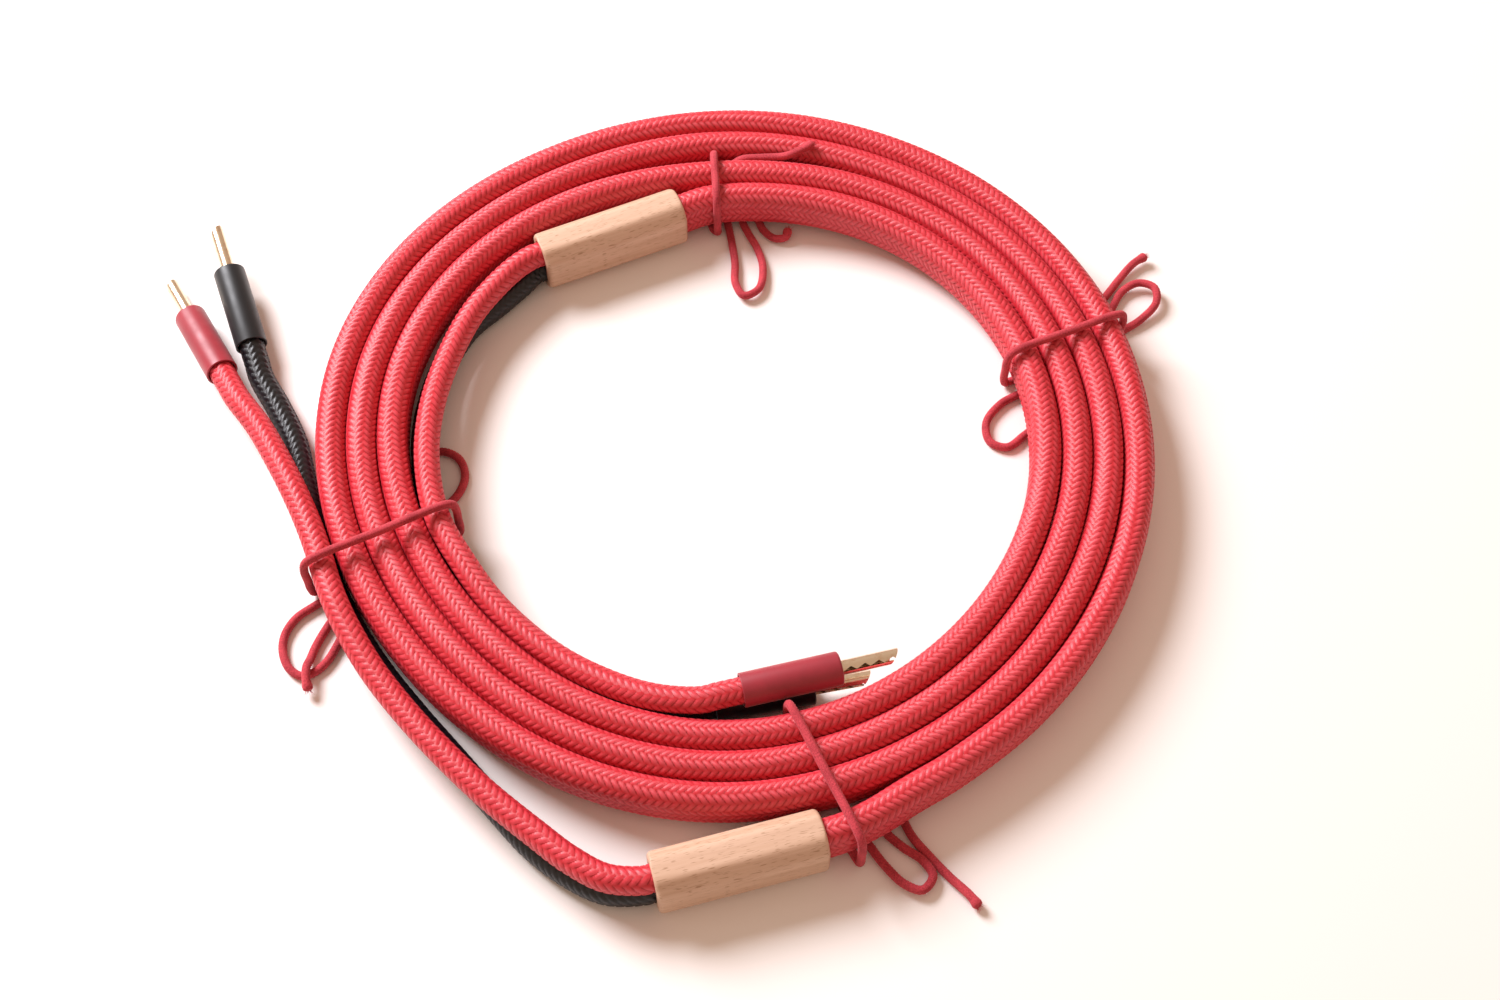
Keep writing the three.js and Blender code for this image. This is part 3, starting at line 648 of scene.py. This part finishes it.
def block_end(bore):
    """Reach and depth of the rows from the bottom of a bore, round its rim, over the
    end face and round the end's outer edge, whose rounding the wall limits."""
    turn = np.radians(np.linspace(0, 90, 7))[:, None]
    rim_reach = bore + BORE_EDGE * (1 - np.cos(turn[::2]))
    rim_depth = BORE_EDGE * (1 - np.sin(turn[::2])) + 0 * bore
    wall = block_outline - bore - BORE_EDGE
    rounding = np.minimum(BLOCK_END_ROUND, BLOCK_END_WALL_SHARE * wall)
    edge_reach = block_outline - rounding * (1 - np.sin(turn))
    edge_depth = rounding * (1 - np.cos(turn))
    reach = np.vstack([core_bore, bore, rim_reach, edge_reach])
    depth = np.vstack([0 * bore + BLOCK_BORE_DEPTH, 0 * bore + BLOCK_BORE_DEPTH, rim_depth,
                       edge_depth])
    return reach, depth


mouth_reach, mouth_depth = block_end(cable_bore)
far_reach, far_depth = block_end(legs_bore)
body_depth = np.linspace(
    BLOCK_BODY_INSET, BLOCK_LENGTH - BLOCK_BODY_INSET, BLOCK_BODY_ROWS
)[:, None]
block_reaches = np.vstack(
    [mouth_reach, block_outline + 0 * body_depth, far_reach[::-1]]
)
block_depths = np.vstack(
    [mouth_depth, body_depth + 0 * block_outline, (BLOCK_LENGTH - far_depth)[::-1]]
)
for letter, block in BLOCKS.items():
    heading = math.radians(block["heading"])
    forwards = np.array([math.cos(heading), math.sin(heading), 0])
    leftwards = np.array([-math.sin(heading), math.cos(heading), 0])
    across = block_reaches * np.cos(block_angles)
    upwards = block_reaches * np.sin(block_angles)
    block_rows = along_block(block, 0) + block_depths[..., None] * forwards
    block_rows = block_rows + across[..., None] * leftwards
    block_rows = block_rows + upwards[..., None] * np.array([0, 0, 1])
    splitter = grid_mesh(f"beech_splitter_{letter}", block_rows, ends="joined", sharp=50)
    splitter.data.materials.append(
        beech(f"oiled beech {letter}", tuple(along_block(block, 0)), heading)
    )
    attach(splitter, "cable")
    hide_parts(f"splitter_{letter}")

# ---- sleeves ----
# Each plug is covered by a moulded plastic tube, which slides back along the leg to
# bare the crimp. Its nose narrows round the pin, and its rear mouth is thin-walled.
SLEEVE_BORE = 8.2 * MM
SLEEVE_WALL = 0.6 * MM
SLEEVE_FRONT = 2.2 * MM
SLEEVE_FRONT_ROUND = 0.8 * MM
SLEEVE_MOUTH_ROUND = 0.22 * MM
NOSE_RADIUS = 2.9 * MM
SLEEVE_COLUMNS = 72


def corner(radius, along, size, start):
    """A quarter circle of a turned outline, from a start angle in degrees, as pairs of
    radius and place along the axis."""
    a = np.radians(start + np.linspace(0, 90, 7))
    return np.stack([radius + size * np.cos(a), along + size * np.sin(a)], 1)


def turned_rows(plug, outline, columns):
    """The outline's points carried round a plug's axis."""
    a = 2 * np.pi * np.arange(columns) / columns
    round_axis = np.cos(a)[:, None] * plug["sideways"] + np.sin(a)[:, None] * plug["upright"]
    return (plug["mouth"] + outline[:, 1:, None] * plug["direction"]
            + outline[:, :1, None] * round_axis)


def moulded_plastic(name, colour, shadow, roughness):
    """Satin moulded plastic: a faint orange peel half a millimetre across, patches where
    hands have polished it, and slightly darker blooms in the colour."""
    material, tree = new_material(name)
    place = add(tree, "TexCoord").outputs["Object"]
    peel = add(tree, "TexNoise", {"Vector": place, "Scale": 2 / MM, "Detail": 2.0})
    bloom = add(tree, "TexNoise", {"Vector": place, "Scale": 0.16 / MM, "Detail": 4.0})
    share = add(tree, "MapRange", {"Value": bloom, "From Min": 0.35, "From Max": 0.7})
    tinted = add(
        tree, "Mix", {"Factor": share, "A": to_linear(colour), "B": to_linear(shadow)},
        data_type="RGBA",
    )
    polish = add(
        tree, "MapRange",
        {"Value": bloom, "From Min": 0.3, "From Max": 0.7, "To Min": roughness - 0.06,
         "To Max": roughness + 0.08},
    )
    bump = add(tree, "Bump", {"Height": peel, "Strength": 0.25, "Distance": 0.03 * MM})
    surface = add(
        tree, "BsdfPrincipled",
        {"Base Color": tinted, "Roughness": polish, "IOR": 1.49, "Normal": bump,
         "Sheen Weight": 0.15, "Sheen Roughness": 0.4},
    )
    add(tree, "OutputMaterial", {"Surface": surface})
    return material


SLEEVE_PLASTICS = {
    "red": moulded_plastic("crimson moulded plastic", "#9c2a38", "#8e2330", 0.45),
    "black": moulded_plastic("black moulded plastic", "#12161b", "#0b0e12", 0.42),
}
bore = SLEEVE_BORE / 2
outer = bore + SLEEVE_WALL
mouth = SLEEVE_MOUTH_ROUND
front_round = SLEEVE_FRONT_ROUND
sleeve_outline = np.vstack([
    corner(bore + mouth, mouth, mouth, 180),
    corner(outer - mouth, mouth, mouth, 270),
    corner(outer - front_round, SLEEVE_LENGTH - front_round, front_round, 0),
    corner(NOSE_RADIUS + mouth, SLEEVE_LENGTH - mouth, mouth, 90),
    [[NOSE_RADIUS, SLEEVE_LENGTH - SLEEVE_FRONT], [bore, SLEEVE_LENGTH - SLEEVE_FRONT]],
])
for key, plug in PLUGS.items():
    sleeve = grid_mesh(
        f"plastic_sleeve_{key}", turned_rows(plug, sleeve_outline, SLEEVE_COLUMNS),
        ends="joined", sharp=50,
    )
    sleeve.data.materials.append(SLEEVE_PLASTICS[key.split("_")[0]])
    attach(sleeve, f"plug_sleeve_{key}")
    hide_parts(f"sleeve_{key}")

# ---- pins ----
# Each pin is a strip of gold-plated copper sheet rolled into a tube. One edge of its
# seam is straight, the other is cut in teeth so that it springs, and the tip is cut
# aslant. Behind the nose it is opened out into a barrel, crimped on the strands.
PIN_DIAMETER = 4.1 * MM
PIN_WALL = 0.5 * MM
PIN_LENGTH = 16 * MM
PIN_TIP_SLANT = math.radians(35)
PIN_TEETH = 4
PIN_TOOTH = 1.15 * MM
PIN_TEETH_START = 1 * MM
PIN_SEAM = 0.14 * MM
BARREL_DIAMETER = 5.2 * MM
BARREL_LENGTH = 11 * MM
BARREL_SHOULDER = 0.8 * MM
BARREL_IN_NOSE = 1.2 * MM
BARREL_FRONT = SLEEVE_LENGTH - SLEEVE_FRONT + BARREL_IN_NOSE
PIN_COLUMNS = 48
PIN_ROWS = 120
PIN_SEAM_ANGLES = {"red_a": 280, "black_a": 280, "red_b": 150, "black_b": 185}
PIN_TIP_ANGLES = {"red_a": 120, "black_a": 150, "red_b": 50, "black_b": 50}


def rolled_pin_rows(plug, seam_degrees, tip_degrees):
    """Rows of a rolled sheet. Each row goes round its outside from one edge of the seam
    to the other and back round its inside. The seam opens by a triangle wave for the
    teeth, and each line along the sheet ends on the tip's slanted plane."""
    seam, tip = math.radians(seam_degrees), math.radians(tip_degrees)
    rear = BARREL_FRONT - BARREL_LENGTH
    front = SLEEVE_LENGTH + PIN_LENGTH
    share = np.linspace(0, 1, PIN_ROWS)[:, None]
    along = rear + share * (front - rear)
    toothed = np.clip((along - SLEEVE_LENGTH - PIN_TEETH_START) / PIN_LENGTH, 0, 1)
    wave = np.mod(toothed * PIN_TEETH, 1)
    teeth = PIN_TOOTH * (1 - np.abs(2 * wave - 1)) * (toothed > 0)
    step = np.arange(PIN_COLUMNS) / (PIN_COLUMNS - 1)
    opened = np.clip((BARREL_FRONT + BARREL_SHOULDER - along) / BARREL_SHOULDER, 0, 1)
    radius = (PIN_DIAMETER + opened * (BARREL_DIAMETER - PIN_DIAMETER)) / 2
    straight_edge = seam + PIN_SEAM / PIN_DIAMETER
    toothed_edge = seam + 2 * math.pi - (PIN_SEAM + 2 * teeth) / PIN_DIAMETER
    angle = straight_edge + step * (toothed_edge - straight_edge)
    skins = []
    for depth, order in ((0.0, 1), (PIN_WALL, -1)):
        reach = radius - depth
        slant = (PIN_DIAMETER / 2 - reach * np.cos(angle - tip)) * math.tan(PIN_TIP_SLANT)
        place = rear + share * (front - rear - slant)
        around = (np.cos(angle)[..., None] * plug["sideways"]
                  + np.sin(angle)[..., None] * plug["upright"])
        skin = plug["mouth"] + place[..., None] * plug["direction"] + reach[..., None] * around
        skins.append(skin[:, ::order])
    return np.concatenate(skins, 1)


def gold_plate(name):
    """Thin gold plate on rolled copper sheet: bright and pale, with a painted coppery
    reflection in patches some 2 mm across, and a faint grit drawn coarser than the
    real one."""
    material, tree = new_material(name)
    place = add(tree, "TexCoord").outputs["Object"]
    # Painted reflection: noise patches some 2 mm across tint the pale gold towards a coppery
    # colour.
    reflection_patches = add(tree, "TexNoise", {"Vector": place, "Scale": 0.5 / MM, "Detail": 3.0})
    share = add(tree, "MapRange", {"Value": reflection_patches, "From Min": 0.5, "From Max": 0.75})
    colour = add(
        tree, "Mix", {"Factor": share, "A": to_linear("#ecdfc6"), "B": to_linear("#dec2a2")},
        data_type="RGBA",
    )
    grit = add(tree, "TexNoise", {"Vector": place, "Scale": 6 / MM, "Detail": 1.0})
    bump = add(tree, "Bump", {"Height": grit, "Strength": 0.05, "Distance": 0.02 * MM})
    surface = add(
        tree, "BsdfPrincipled",
        {"Base Color": colour, "Metallic": 1.0, "Roughness": 0.24, "Normal": bump},
    )
    add(tree, "OutputMaterial", {"Surface": surface})
    return material


plated = gold_plate("gold plate on copper")
for key, plug in PLUGS.items():
    pin_rows = rolled_pin_rows(plug, PIN_SEAM_ANGLES[key], PIN_TIP_ANGLES[key])
    pin = grid_mesh(f"rolled_pin_{key}", pin_rows, ends="strip", sharp=40)
    pin.data.materials.append(plated)
    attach(pin, "cable")
    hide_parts(f"pin_{key}")

# ---- conductors ----
# Inside the blocks and plugs run the stranded copper conductors in pale polyethylene,
# and a short band of shrunk tube holds down the braid's cut end under each sleeve.


def drawn_metal(name, colour, shadow):
    """Bundled copper wires, drawn bright, with painted shade in darker spots between them
    0.4 mm apart.
    """
    material, tree = new_material(name)
    place = add(tree, "TexCoord").outputs["Object"]
    wires = add(tree, "TexNoise", {"Vector": place, "Scale": 2.5 / MM, "Detail": 1.0})
    # Painted shade: the noise darkens the copper in spots towards the shadow colour.
    colour = add(
        tree, "Mix", {"Factor": wires, "A": to_linear(colour), "B": to_linear(shadow)},
        data_type="RGBA",
    )
    bump = add(tree, "Bump", {"Height": wires, "Strength": 0.6, "Distance": 0.1 * MM})
    surface = add(
        tree, "BsdfPrincipled",
        {"Base Color": colour, "Metallic": 1.0, "Roughness": 0.3, "Normal": bump},
    )
    add(tree, "OutputMaterial", {"Surface": surface})
    return material


inner_finishes = {
    "strands_": drawn_metal("bright copper strands", "#d98e62", "#8a4a2c"),
    "core_": moulded_plastic("natural polyethylene", "#e8e2d4", "#ddd5c2", 0.45),
    "braid_band_": moulded_plastic("black shrunk tube", "#1c1c1f", "#141416", 0.5),
}
for node in frame["nodes"]:
    for beginning, finish in inner_finishes.items():
        if node.startswith(beginning):
            bpy.data.objects[node].data.materials.clear()
            bpy.data.objects[node].data.materials.append(finish)

# ---- ties ----
# Four soft red cotton cords go round the turns, cross under them and end in bow loops
# and tails. A fifth, short length is the top one's tail, which lies in the groove
# between two turns. The knots, which would lie under the coil, are left out.
COIL_TOP = 16.2 * MM
LEGS_TOP = 17.8 * MM
TIE_FLOOR_Z = 1.25 * MM
TIE_STANDOFF = CABLE_WIDTH / 2 + TIE_CLEARANCE + TIE_DIAMETER / 2
CHORD_SHRINK = math.cos(math.radians(COIL_STEP_DEG / 2))
TIE_COLUMNS = 8
TIE_SAMPLES = 3
TIE_PITCH = 0.95 * MM
TIE_RELIEF = 0.16 * MM
TIE_END_SWELL = 0.22
TIE_END_SWELL_PLACE = 1.3 * MM
TIE_END_SWELL_REACH = 1.1 * MM
TIE_END_ROUND = 0.7 * MM


def outside_turn(degrees):
    """The point on the floor where a tie stands just outside a turn."""
    return coil_point(degrees, TIE_STANDOFF, 0)


def inside_turn(degrees):
    """The point on the floor where a tie stands just inside a turn, clear also of the
    straight stretches between the turn's points."""
    return coil_point(degrees, -TIE_STANDOFF - coil_radius(degrees) * (1 - CHORD_SHRINK), 0)


def on_floor(points):
    """Points in millimetres as points in metres, on the floor where no height is given."""
    return [
        np.array([p[0] * MM, p[1] * MM, p[2] * MM if len(p) > 2 else TIE_FLOOR_Z])
        for p in points
    ]


def over_the_top(start, stop, top):
    """The stretch that climbs at one side of the turns, crosses them and comes down."""
    z = top + TIE_CLEARANCE + TIE_DIAMETER / 2
    inward = (stop - start) / np.linalg.norm(stop - start)

    def place(base, along, height):
        """The point over a base, moved across by a number of millimetres."""
        x, y, _ = base + along * MM * inward
        return np.array([x, y, height])

    return [
        place(start, 0.8, 1.7 * MM), place(start, 0, 4.5 * MM), place(start, 0, 8.5 * MM),
        place(start, 0, z - 4.4 * MM), place(start, 0.9, z - 1.3 * MM), place(start, 3.6, z),
        place((start + stop) / 2, 0, z),
        place(stop, -3.6, z), place(stop, -0.9, z - 1.3 * MM), place(stop, 0, z - 4.4 * MM),
        place(stop, 0, 8.5 * MM), place(stop, 0, 4.5 * MM), place(stop, -0.8, 1.7 * MM),
    ]


def carried_frames(line):
    """Directions across a line that never twist: each step reflects the last frame
    in the plane between two points and again in the plane between two tangents."""
    tangent = np.gradient(line, axis=0)
    tangent /= np.linalg.norm(tangent, axis=1)[:, None]
    side = np.zeros_like(line)
    side[0] = np.cross(tangent[0], [0, 0, 1])
    side[0] /= np.linalg.norm(side[0])
    for i in range(len(line) - 1):
        step = line[i + 1] - line[i]
        c = step @ step
        carried = side[i] - 2 / c * (step @ side[i]) * step
        turned = tangent[i] - 2 / c * (step @ tangent[i]) * step
        gap = tangent[i + 1] - turned
        side[i + 1] = carried - 2 / max(gap @ gap, 1e-18) * (gap @ carried) * gap
    return tangent, side, np.cross(tangent, side)


def cotton_cord(name):
    """Soft dyed cotton: matt, pale where the fibres stand up, in a mottle 0.3 mm across
    that is coarser than real fibres, with slow changes of depth some 6 mm long."""
    material, tree = new_material(name)
    place = add(tree, "TexCoord").outputs["Object"]
    fuzz = add(
        tree, "TexNoise", {"Vector": place, "Scale": 3.2 / MM, "Detail": 3.0, "Roughness": 0.7}
    )
    tone = add(tree, "TexNoise", {"Vector": place, "Scale": 0.18 / MM, "Detail": 2.0})
    fine = add(tree, "Math", {0: fuzz, 1: 0.75}, operation="MULTIPLY")
    mottle = add(tree, "Math", {0: tone, 1: 0.3, 2: fine}, operation="MULTIPLY_ADD")
    share = add(tree, "MapRange", {"Value": mottle, "From Min": 0.4, "From Max": 0.66})
    colour = add(
        tree, "Mix", {"Factor": share, "A": to_linear("#8c1222"), "B": to_linear("#d0424f")},
        data_type="RGBA",
    )
    bump = add(tree, "Bump", {"Height": fuzz, "Strength": 0.5, "Distance": 0.1 * MM})
    surface = add(
        tree, "BsdfPrincipled",
        {"Base Color": colour, "Roughness": 0.85, "Normal": bump, "Sheen Weight": 0.3,
         "Sheen Roughness": 0.6, "Sheen Tint": to_linear("#ff9aa2")},
    )
    add(tree, "OutputMaterial", {"Surface": surface})
    return material


red_cotton = cotton_cord("dyed cotton")
FRAY_FIBRES = 22
FRAY_LENGTH = 1.5 * MM
FRAY_RADIUS = 0.07 * MM
FRAY_ACROSS = 0.42
FRAY_BEND = 0.7


def frayed_end(name, tip, direction, seed):
    """Loose cotton fibres that burst from a cut end, several times thicker than real
    ones: tapering tubes which start across the end and bend away from its middle."""
    random = np.random.default_rng(seed)
    sideways = np.cross(direction, [0.3, 0.2, 1.0])
    sideways /= np.linalg.norm(sideways)
    upright = np.cross(sideways, direction)
    t = np.linspace(0, 1, 6)[:, None]
    a = 2 * np.pi * np.arange(4) / 4
    fibres = []
    draws = random.uniform((0, 0.1, 0.5), (2 * np.pi, 1, 1.1), (FRAY_FIBRES, 3))
    for turn, spread, reach in draws:
        outwards = math.cos(turn) * sideways + math.sin(turn) * upright
        length = FRAY_LENGTH * reach
        line = tip + outwards * spread * TIE_DIAMETER * FRAY_ACROSS
        line = line + t * length * direction + t**2 * length * FRAY_BEND * spread * outwards
        line[:, 2] = np.maximum(line[:, 2], FRAY_RADIUS)
        radius = FRAY_RADIUS * (1.1 - t)
        around = np.cos(a)[:, None] * outwards
        around = around + np.sin(a)[:, None] * np.cross(direction, outwards)
        fibres.append(line[:, None] + radius[..., None] * around)
    tuft = grid_mesh(name, fibres)
    tuft.data.materials.append(red_cotton)
    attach(tuft, "cable")
    return tuft


def tie_piece(name, points):
    """A round cotton cord along the points, raised by the plait's height. Both ends
    swell by a bell curve and close in a quarter circle, and the first is frayed."""
    line, length = smooth_line(points, TIE_PITCH / TIE_SAMPLES)
    tangent, side, up = carried_frames(line)
    x = np.arange(TIE_COLUMNS * TIE_SAMPLES + 1) / TIE_SAMPLES
    y = np.arange(len(line)) / TIE_SAMPLES
    run = y * TIE_PITCH
    end = np.minimum(run, run[-1] - run)
    from_swell = (end - TIE_END_SWELL_PLACE) / TIE_END_SWELL_REACH
    swell = 1 + TIE_END_SWELL * np.exp(-(from_swell**2))
    close = np.sqrt(np.clip(1 - np.clip(1 - end / TIE_END_ROUND, 0, 1) ** 2, 0.02, 1))
    relief = TIE_RELIEF * braid_height(x[None, :-1], y[:, None])
    radius = (TIE_DIAMETER / 2 + relief) * (swell * close)[:, None]
    a = 2 * np.pi * x[None, :-1] / TIE_COLUMNS
    rows = line[:, None] + (radius * np.cos(a))[..., None] * side[:, None]
    rows = rows + (radius * np.sin(a))[..., None] * up[:, None]
    piece = grid_mesh(name, rows, (x, y))
    piece.data.materials.append(red_cotton)
    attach(piece, "cable")
    tuft = frayed_end(f"{name}_fray_first", line[1], -tangent[0], len(name))
    return piece


tie_right = tie_piece("tie_right_cord", [
    *on_floor([
        [148, 82, 2.6], [144, 79.4, 2.2], [139, 73.6, 1.6], [133.6, 66.4], [128, 60.4],
        [122, 57.6], [118.2, 54.2], [120, 50.6], [125, 51.6], [131, 56], [135.6, 62.4],
        [139.6, 69, 1.8], [144.6, 71.6, 2.6], [149.2, 69.6, 3], [149.4, 64.4, 2.6],
        [144.4, 58.6, 1.8], [138, 54.4], [130, 49.4], [116, 39.6], [106.6, 32.4],
        [100, 28.2], [95.4, 21.6], [96.2, 15], [101, 13.2], [106, 17], [113, 23.6],
        [124, 35], [132.4, 45.4],
    ]),
    *over_the_top(outside_turn(18.2), inside_turn(16.1 + 1080), COIL_TOP),
    *on_floor([[103.4, 36.4], [108.4, 38.4]]),
])
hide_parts("tie_right")

bottom_out = outside_turn(-75) + np.array([1.4, -4.9, 0]) * MM
tie_bottom = tie_piece("tie_bottom_cord", [
    *on_floor([
        [85, -127, 2], [82.6, -123.6, 1.8], [78, -118.8], [73.2, -113.4], [68.6, -107.6],
        [65.4, -101.6], [61.4, -98.4], [59, -101.4], [61.4, -106], [66, -110.4],
        [71, -114.2, 1.6], [73.4, -118.6, 2], [70.6, -122.4, 2.2], [66, -120.8, 2],
        [61.4, -116, 1.6], [57.4, -110.2], [51.4, -100.6], [44.4, -89.4], [37.6, -79.6],
    ]),
    *over_the_top(inside_turn(-80 + 1080), bottom_out, COIL_TOP),
    *on_floor([[52.6, -111.4], [50, -106.6]]),
])
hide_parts("tie_bottom")

left_out = np.array([-96.3, -35.3, 0]) * MM
left_in = np.array([-56.1, -15.7, 0]) * MM
tie_left = tie_piece("tie_left_cord", [
    *on_floor([
        [-94, -66, 2.4], [-94.8, -62.6, 3.8], [-95, -59.4, 3.8], [-94.6, -55.8, 1.9],
        [-93.8, -52.1], [-91.8, -47.2], [-89.4, -42.8], [-86.6, -39.6], [-83.6, -39.8],
        [-83.6, -43], [-86, -46.8], [-87.8, -51.4], [-90, -56.2], [-92.9, -59.4],
        [-96.6, -60.8], [-100.2, -58.6], [-102.6, -53.4], [-102.6, -48.2], [-100.2, -43.2],
        [-96, -39.6], [-91.4, -36.4], [-84, -31.4], [-74, -26.4], [-61, -18.8],
    ]),
    *over_the_top(left_in, left_out, LEGS_TOP),
    *on_floor([
        [-93, -31.8], [-88, -24], [-79, -8], [-71, 6], [-64.6, 11.6], [-58.8, 9.4], [-56.4, 3],
        [-58.4, -3.6], [-63, -8], [-68, -9.6],
    ]),
])
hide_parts("tie_left")

tie_top = tie_piece("tie_top_cord", [
    *on_floor([
        [37.8, 92.6, 2.6], [37, 89.6, 2.2], [33.6, 89.6, 1.6], [30.2, 93], [28.2, 97.4],
        [25.6, 100.2], [23.6, 97.4], [25.2, 92.4], [28.2, 86], [30, 78, 1.6], [28.6, 69.8, 2],
        [24.2, 67.2, 2.2], [21.6, 72, 2], [21.4, 80, 1.6], [20.4, 88], [18.6, 98],
        [16.4, 106.6],
    ]),
    *over_the_top(
        coil_point(93.3 + 720, TIE_STANDOFF, 0), inside_turn(93.3 + 1080), COIL_TOP
    ),
    *on_floor([[14.6, 93.4], [13.4, 98.4]]),
])
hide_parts("tie_top")
tie_piece("tie_top_tail", on_floor([
    [45.8, 113.9, 18], [41.6, 112.2, 16.7], [37, 111.3, 15], [30, 112, 13.4],
    [23.4, 112.1, 12.4], [20.4, 112, 9.6], [19.8, 112, 5.6], [19.4, 111.2, 2.2],
    [18.4, 106], [18.2, 100],
]))

# ---- floor and light ----
# A plain white table, a large soft window light from the left and behind, and a weak
# warm light from all round that fills the shadows.
FLOOR_REACH = 6
ROOM_STRENGTH = 0.6
WINDOW_PLACE = (-0.85, 0.75, 0.9)
WINDOW_SIZE = 0.75
WINDOW_WATTS = 37
floor_mesh = bpy.data.meshes.new("floor")
floor_corners = [(-1, -1, 0), (1, -1, 0), (1, 1, 0), (-1, 1, 0)]
floor_corners = [(x * FLOOR_REACH, y * FLOOR_REACH, z) for x, y, z in floor_corners]
floor_mesh.from_pydata(floor_corners, [], [(0, 1, 2, 3)])
floor = bpy.data.objects.new("floor", floor_mesh)
bpy.context.scene.collection.objects.link(floor)
floor_paint, floor_tree = new_material("white table")
floor_surface = add(
    floor_tree, "BsdfPrincipled", {"Base Color": to_linear("#f4f2f0"), "Roughness": 0.6}
)
add(floor_tree, "OutputMaterial", {"Surface": floor_surface})
floor_mesh.materials.append(floor_paint)

world = bpy.data.worlds.new("room")
world.use_nodes = True
world.node_tree.nodes["Background"].inputs[0].default_value = to_linear("#ffd9c0")
world.node_tree.nodes["Background"].inputs[1].default_value = ROOM_STRENGTH
bpy.context.scene.world = world
bpy.context.scene.view_settings.view_transform = "Standard"


def window_light(name, location, target, size, energy, tint):
    """A round area light at a place, turned to face a target."""
    data = bpy.data.lights.new(name, "AREA")
    data.shape = "DISK"
    data.size = size
    data.energy = energy
    data.color = to_linear(tint)[:3]
    lamp = bpy.data.objects.new(name, data)
    bpy.context.scene.collection.objects.link(lamp)
    aim = np.array(target) - np.array(location)
    azimuth = math.atan2(-aim[0], aim[1])
    lamp.location = location
    lamp.rotation_euler = (math.acos(-aim[2] / np.linalg.norm(aim)), 0, azimuth)


window_light("window", WINDOW_PLACE, (0, 0, 0), WINDOW_SIZE, WINDOW_WATTS, "#fbfaff")
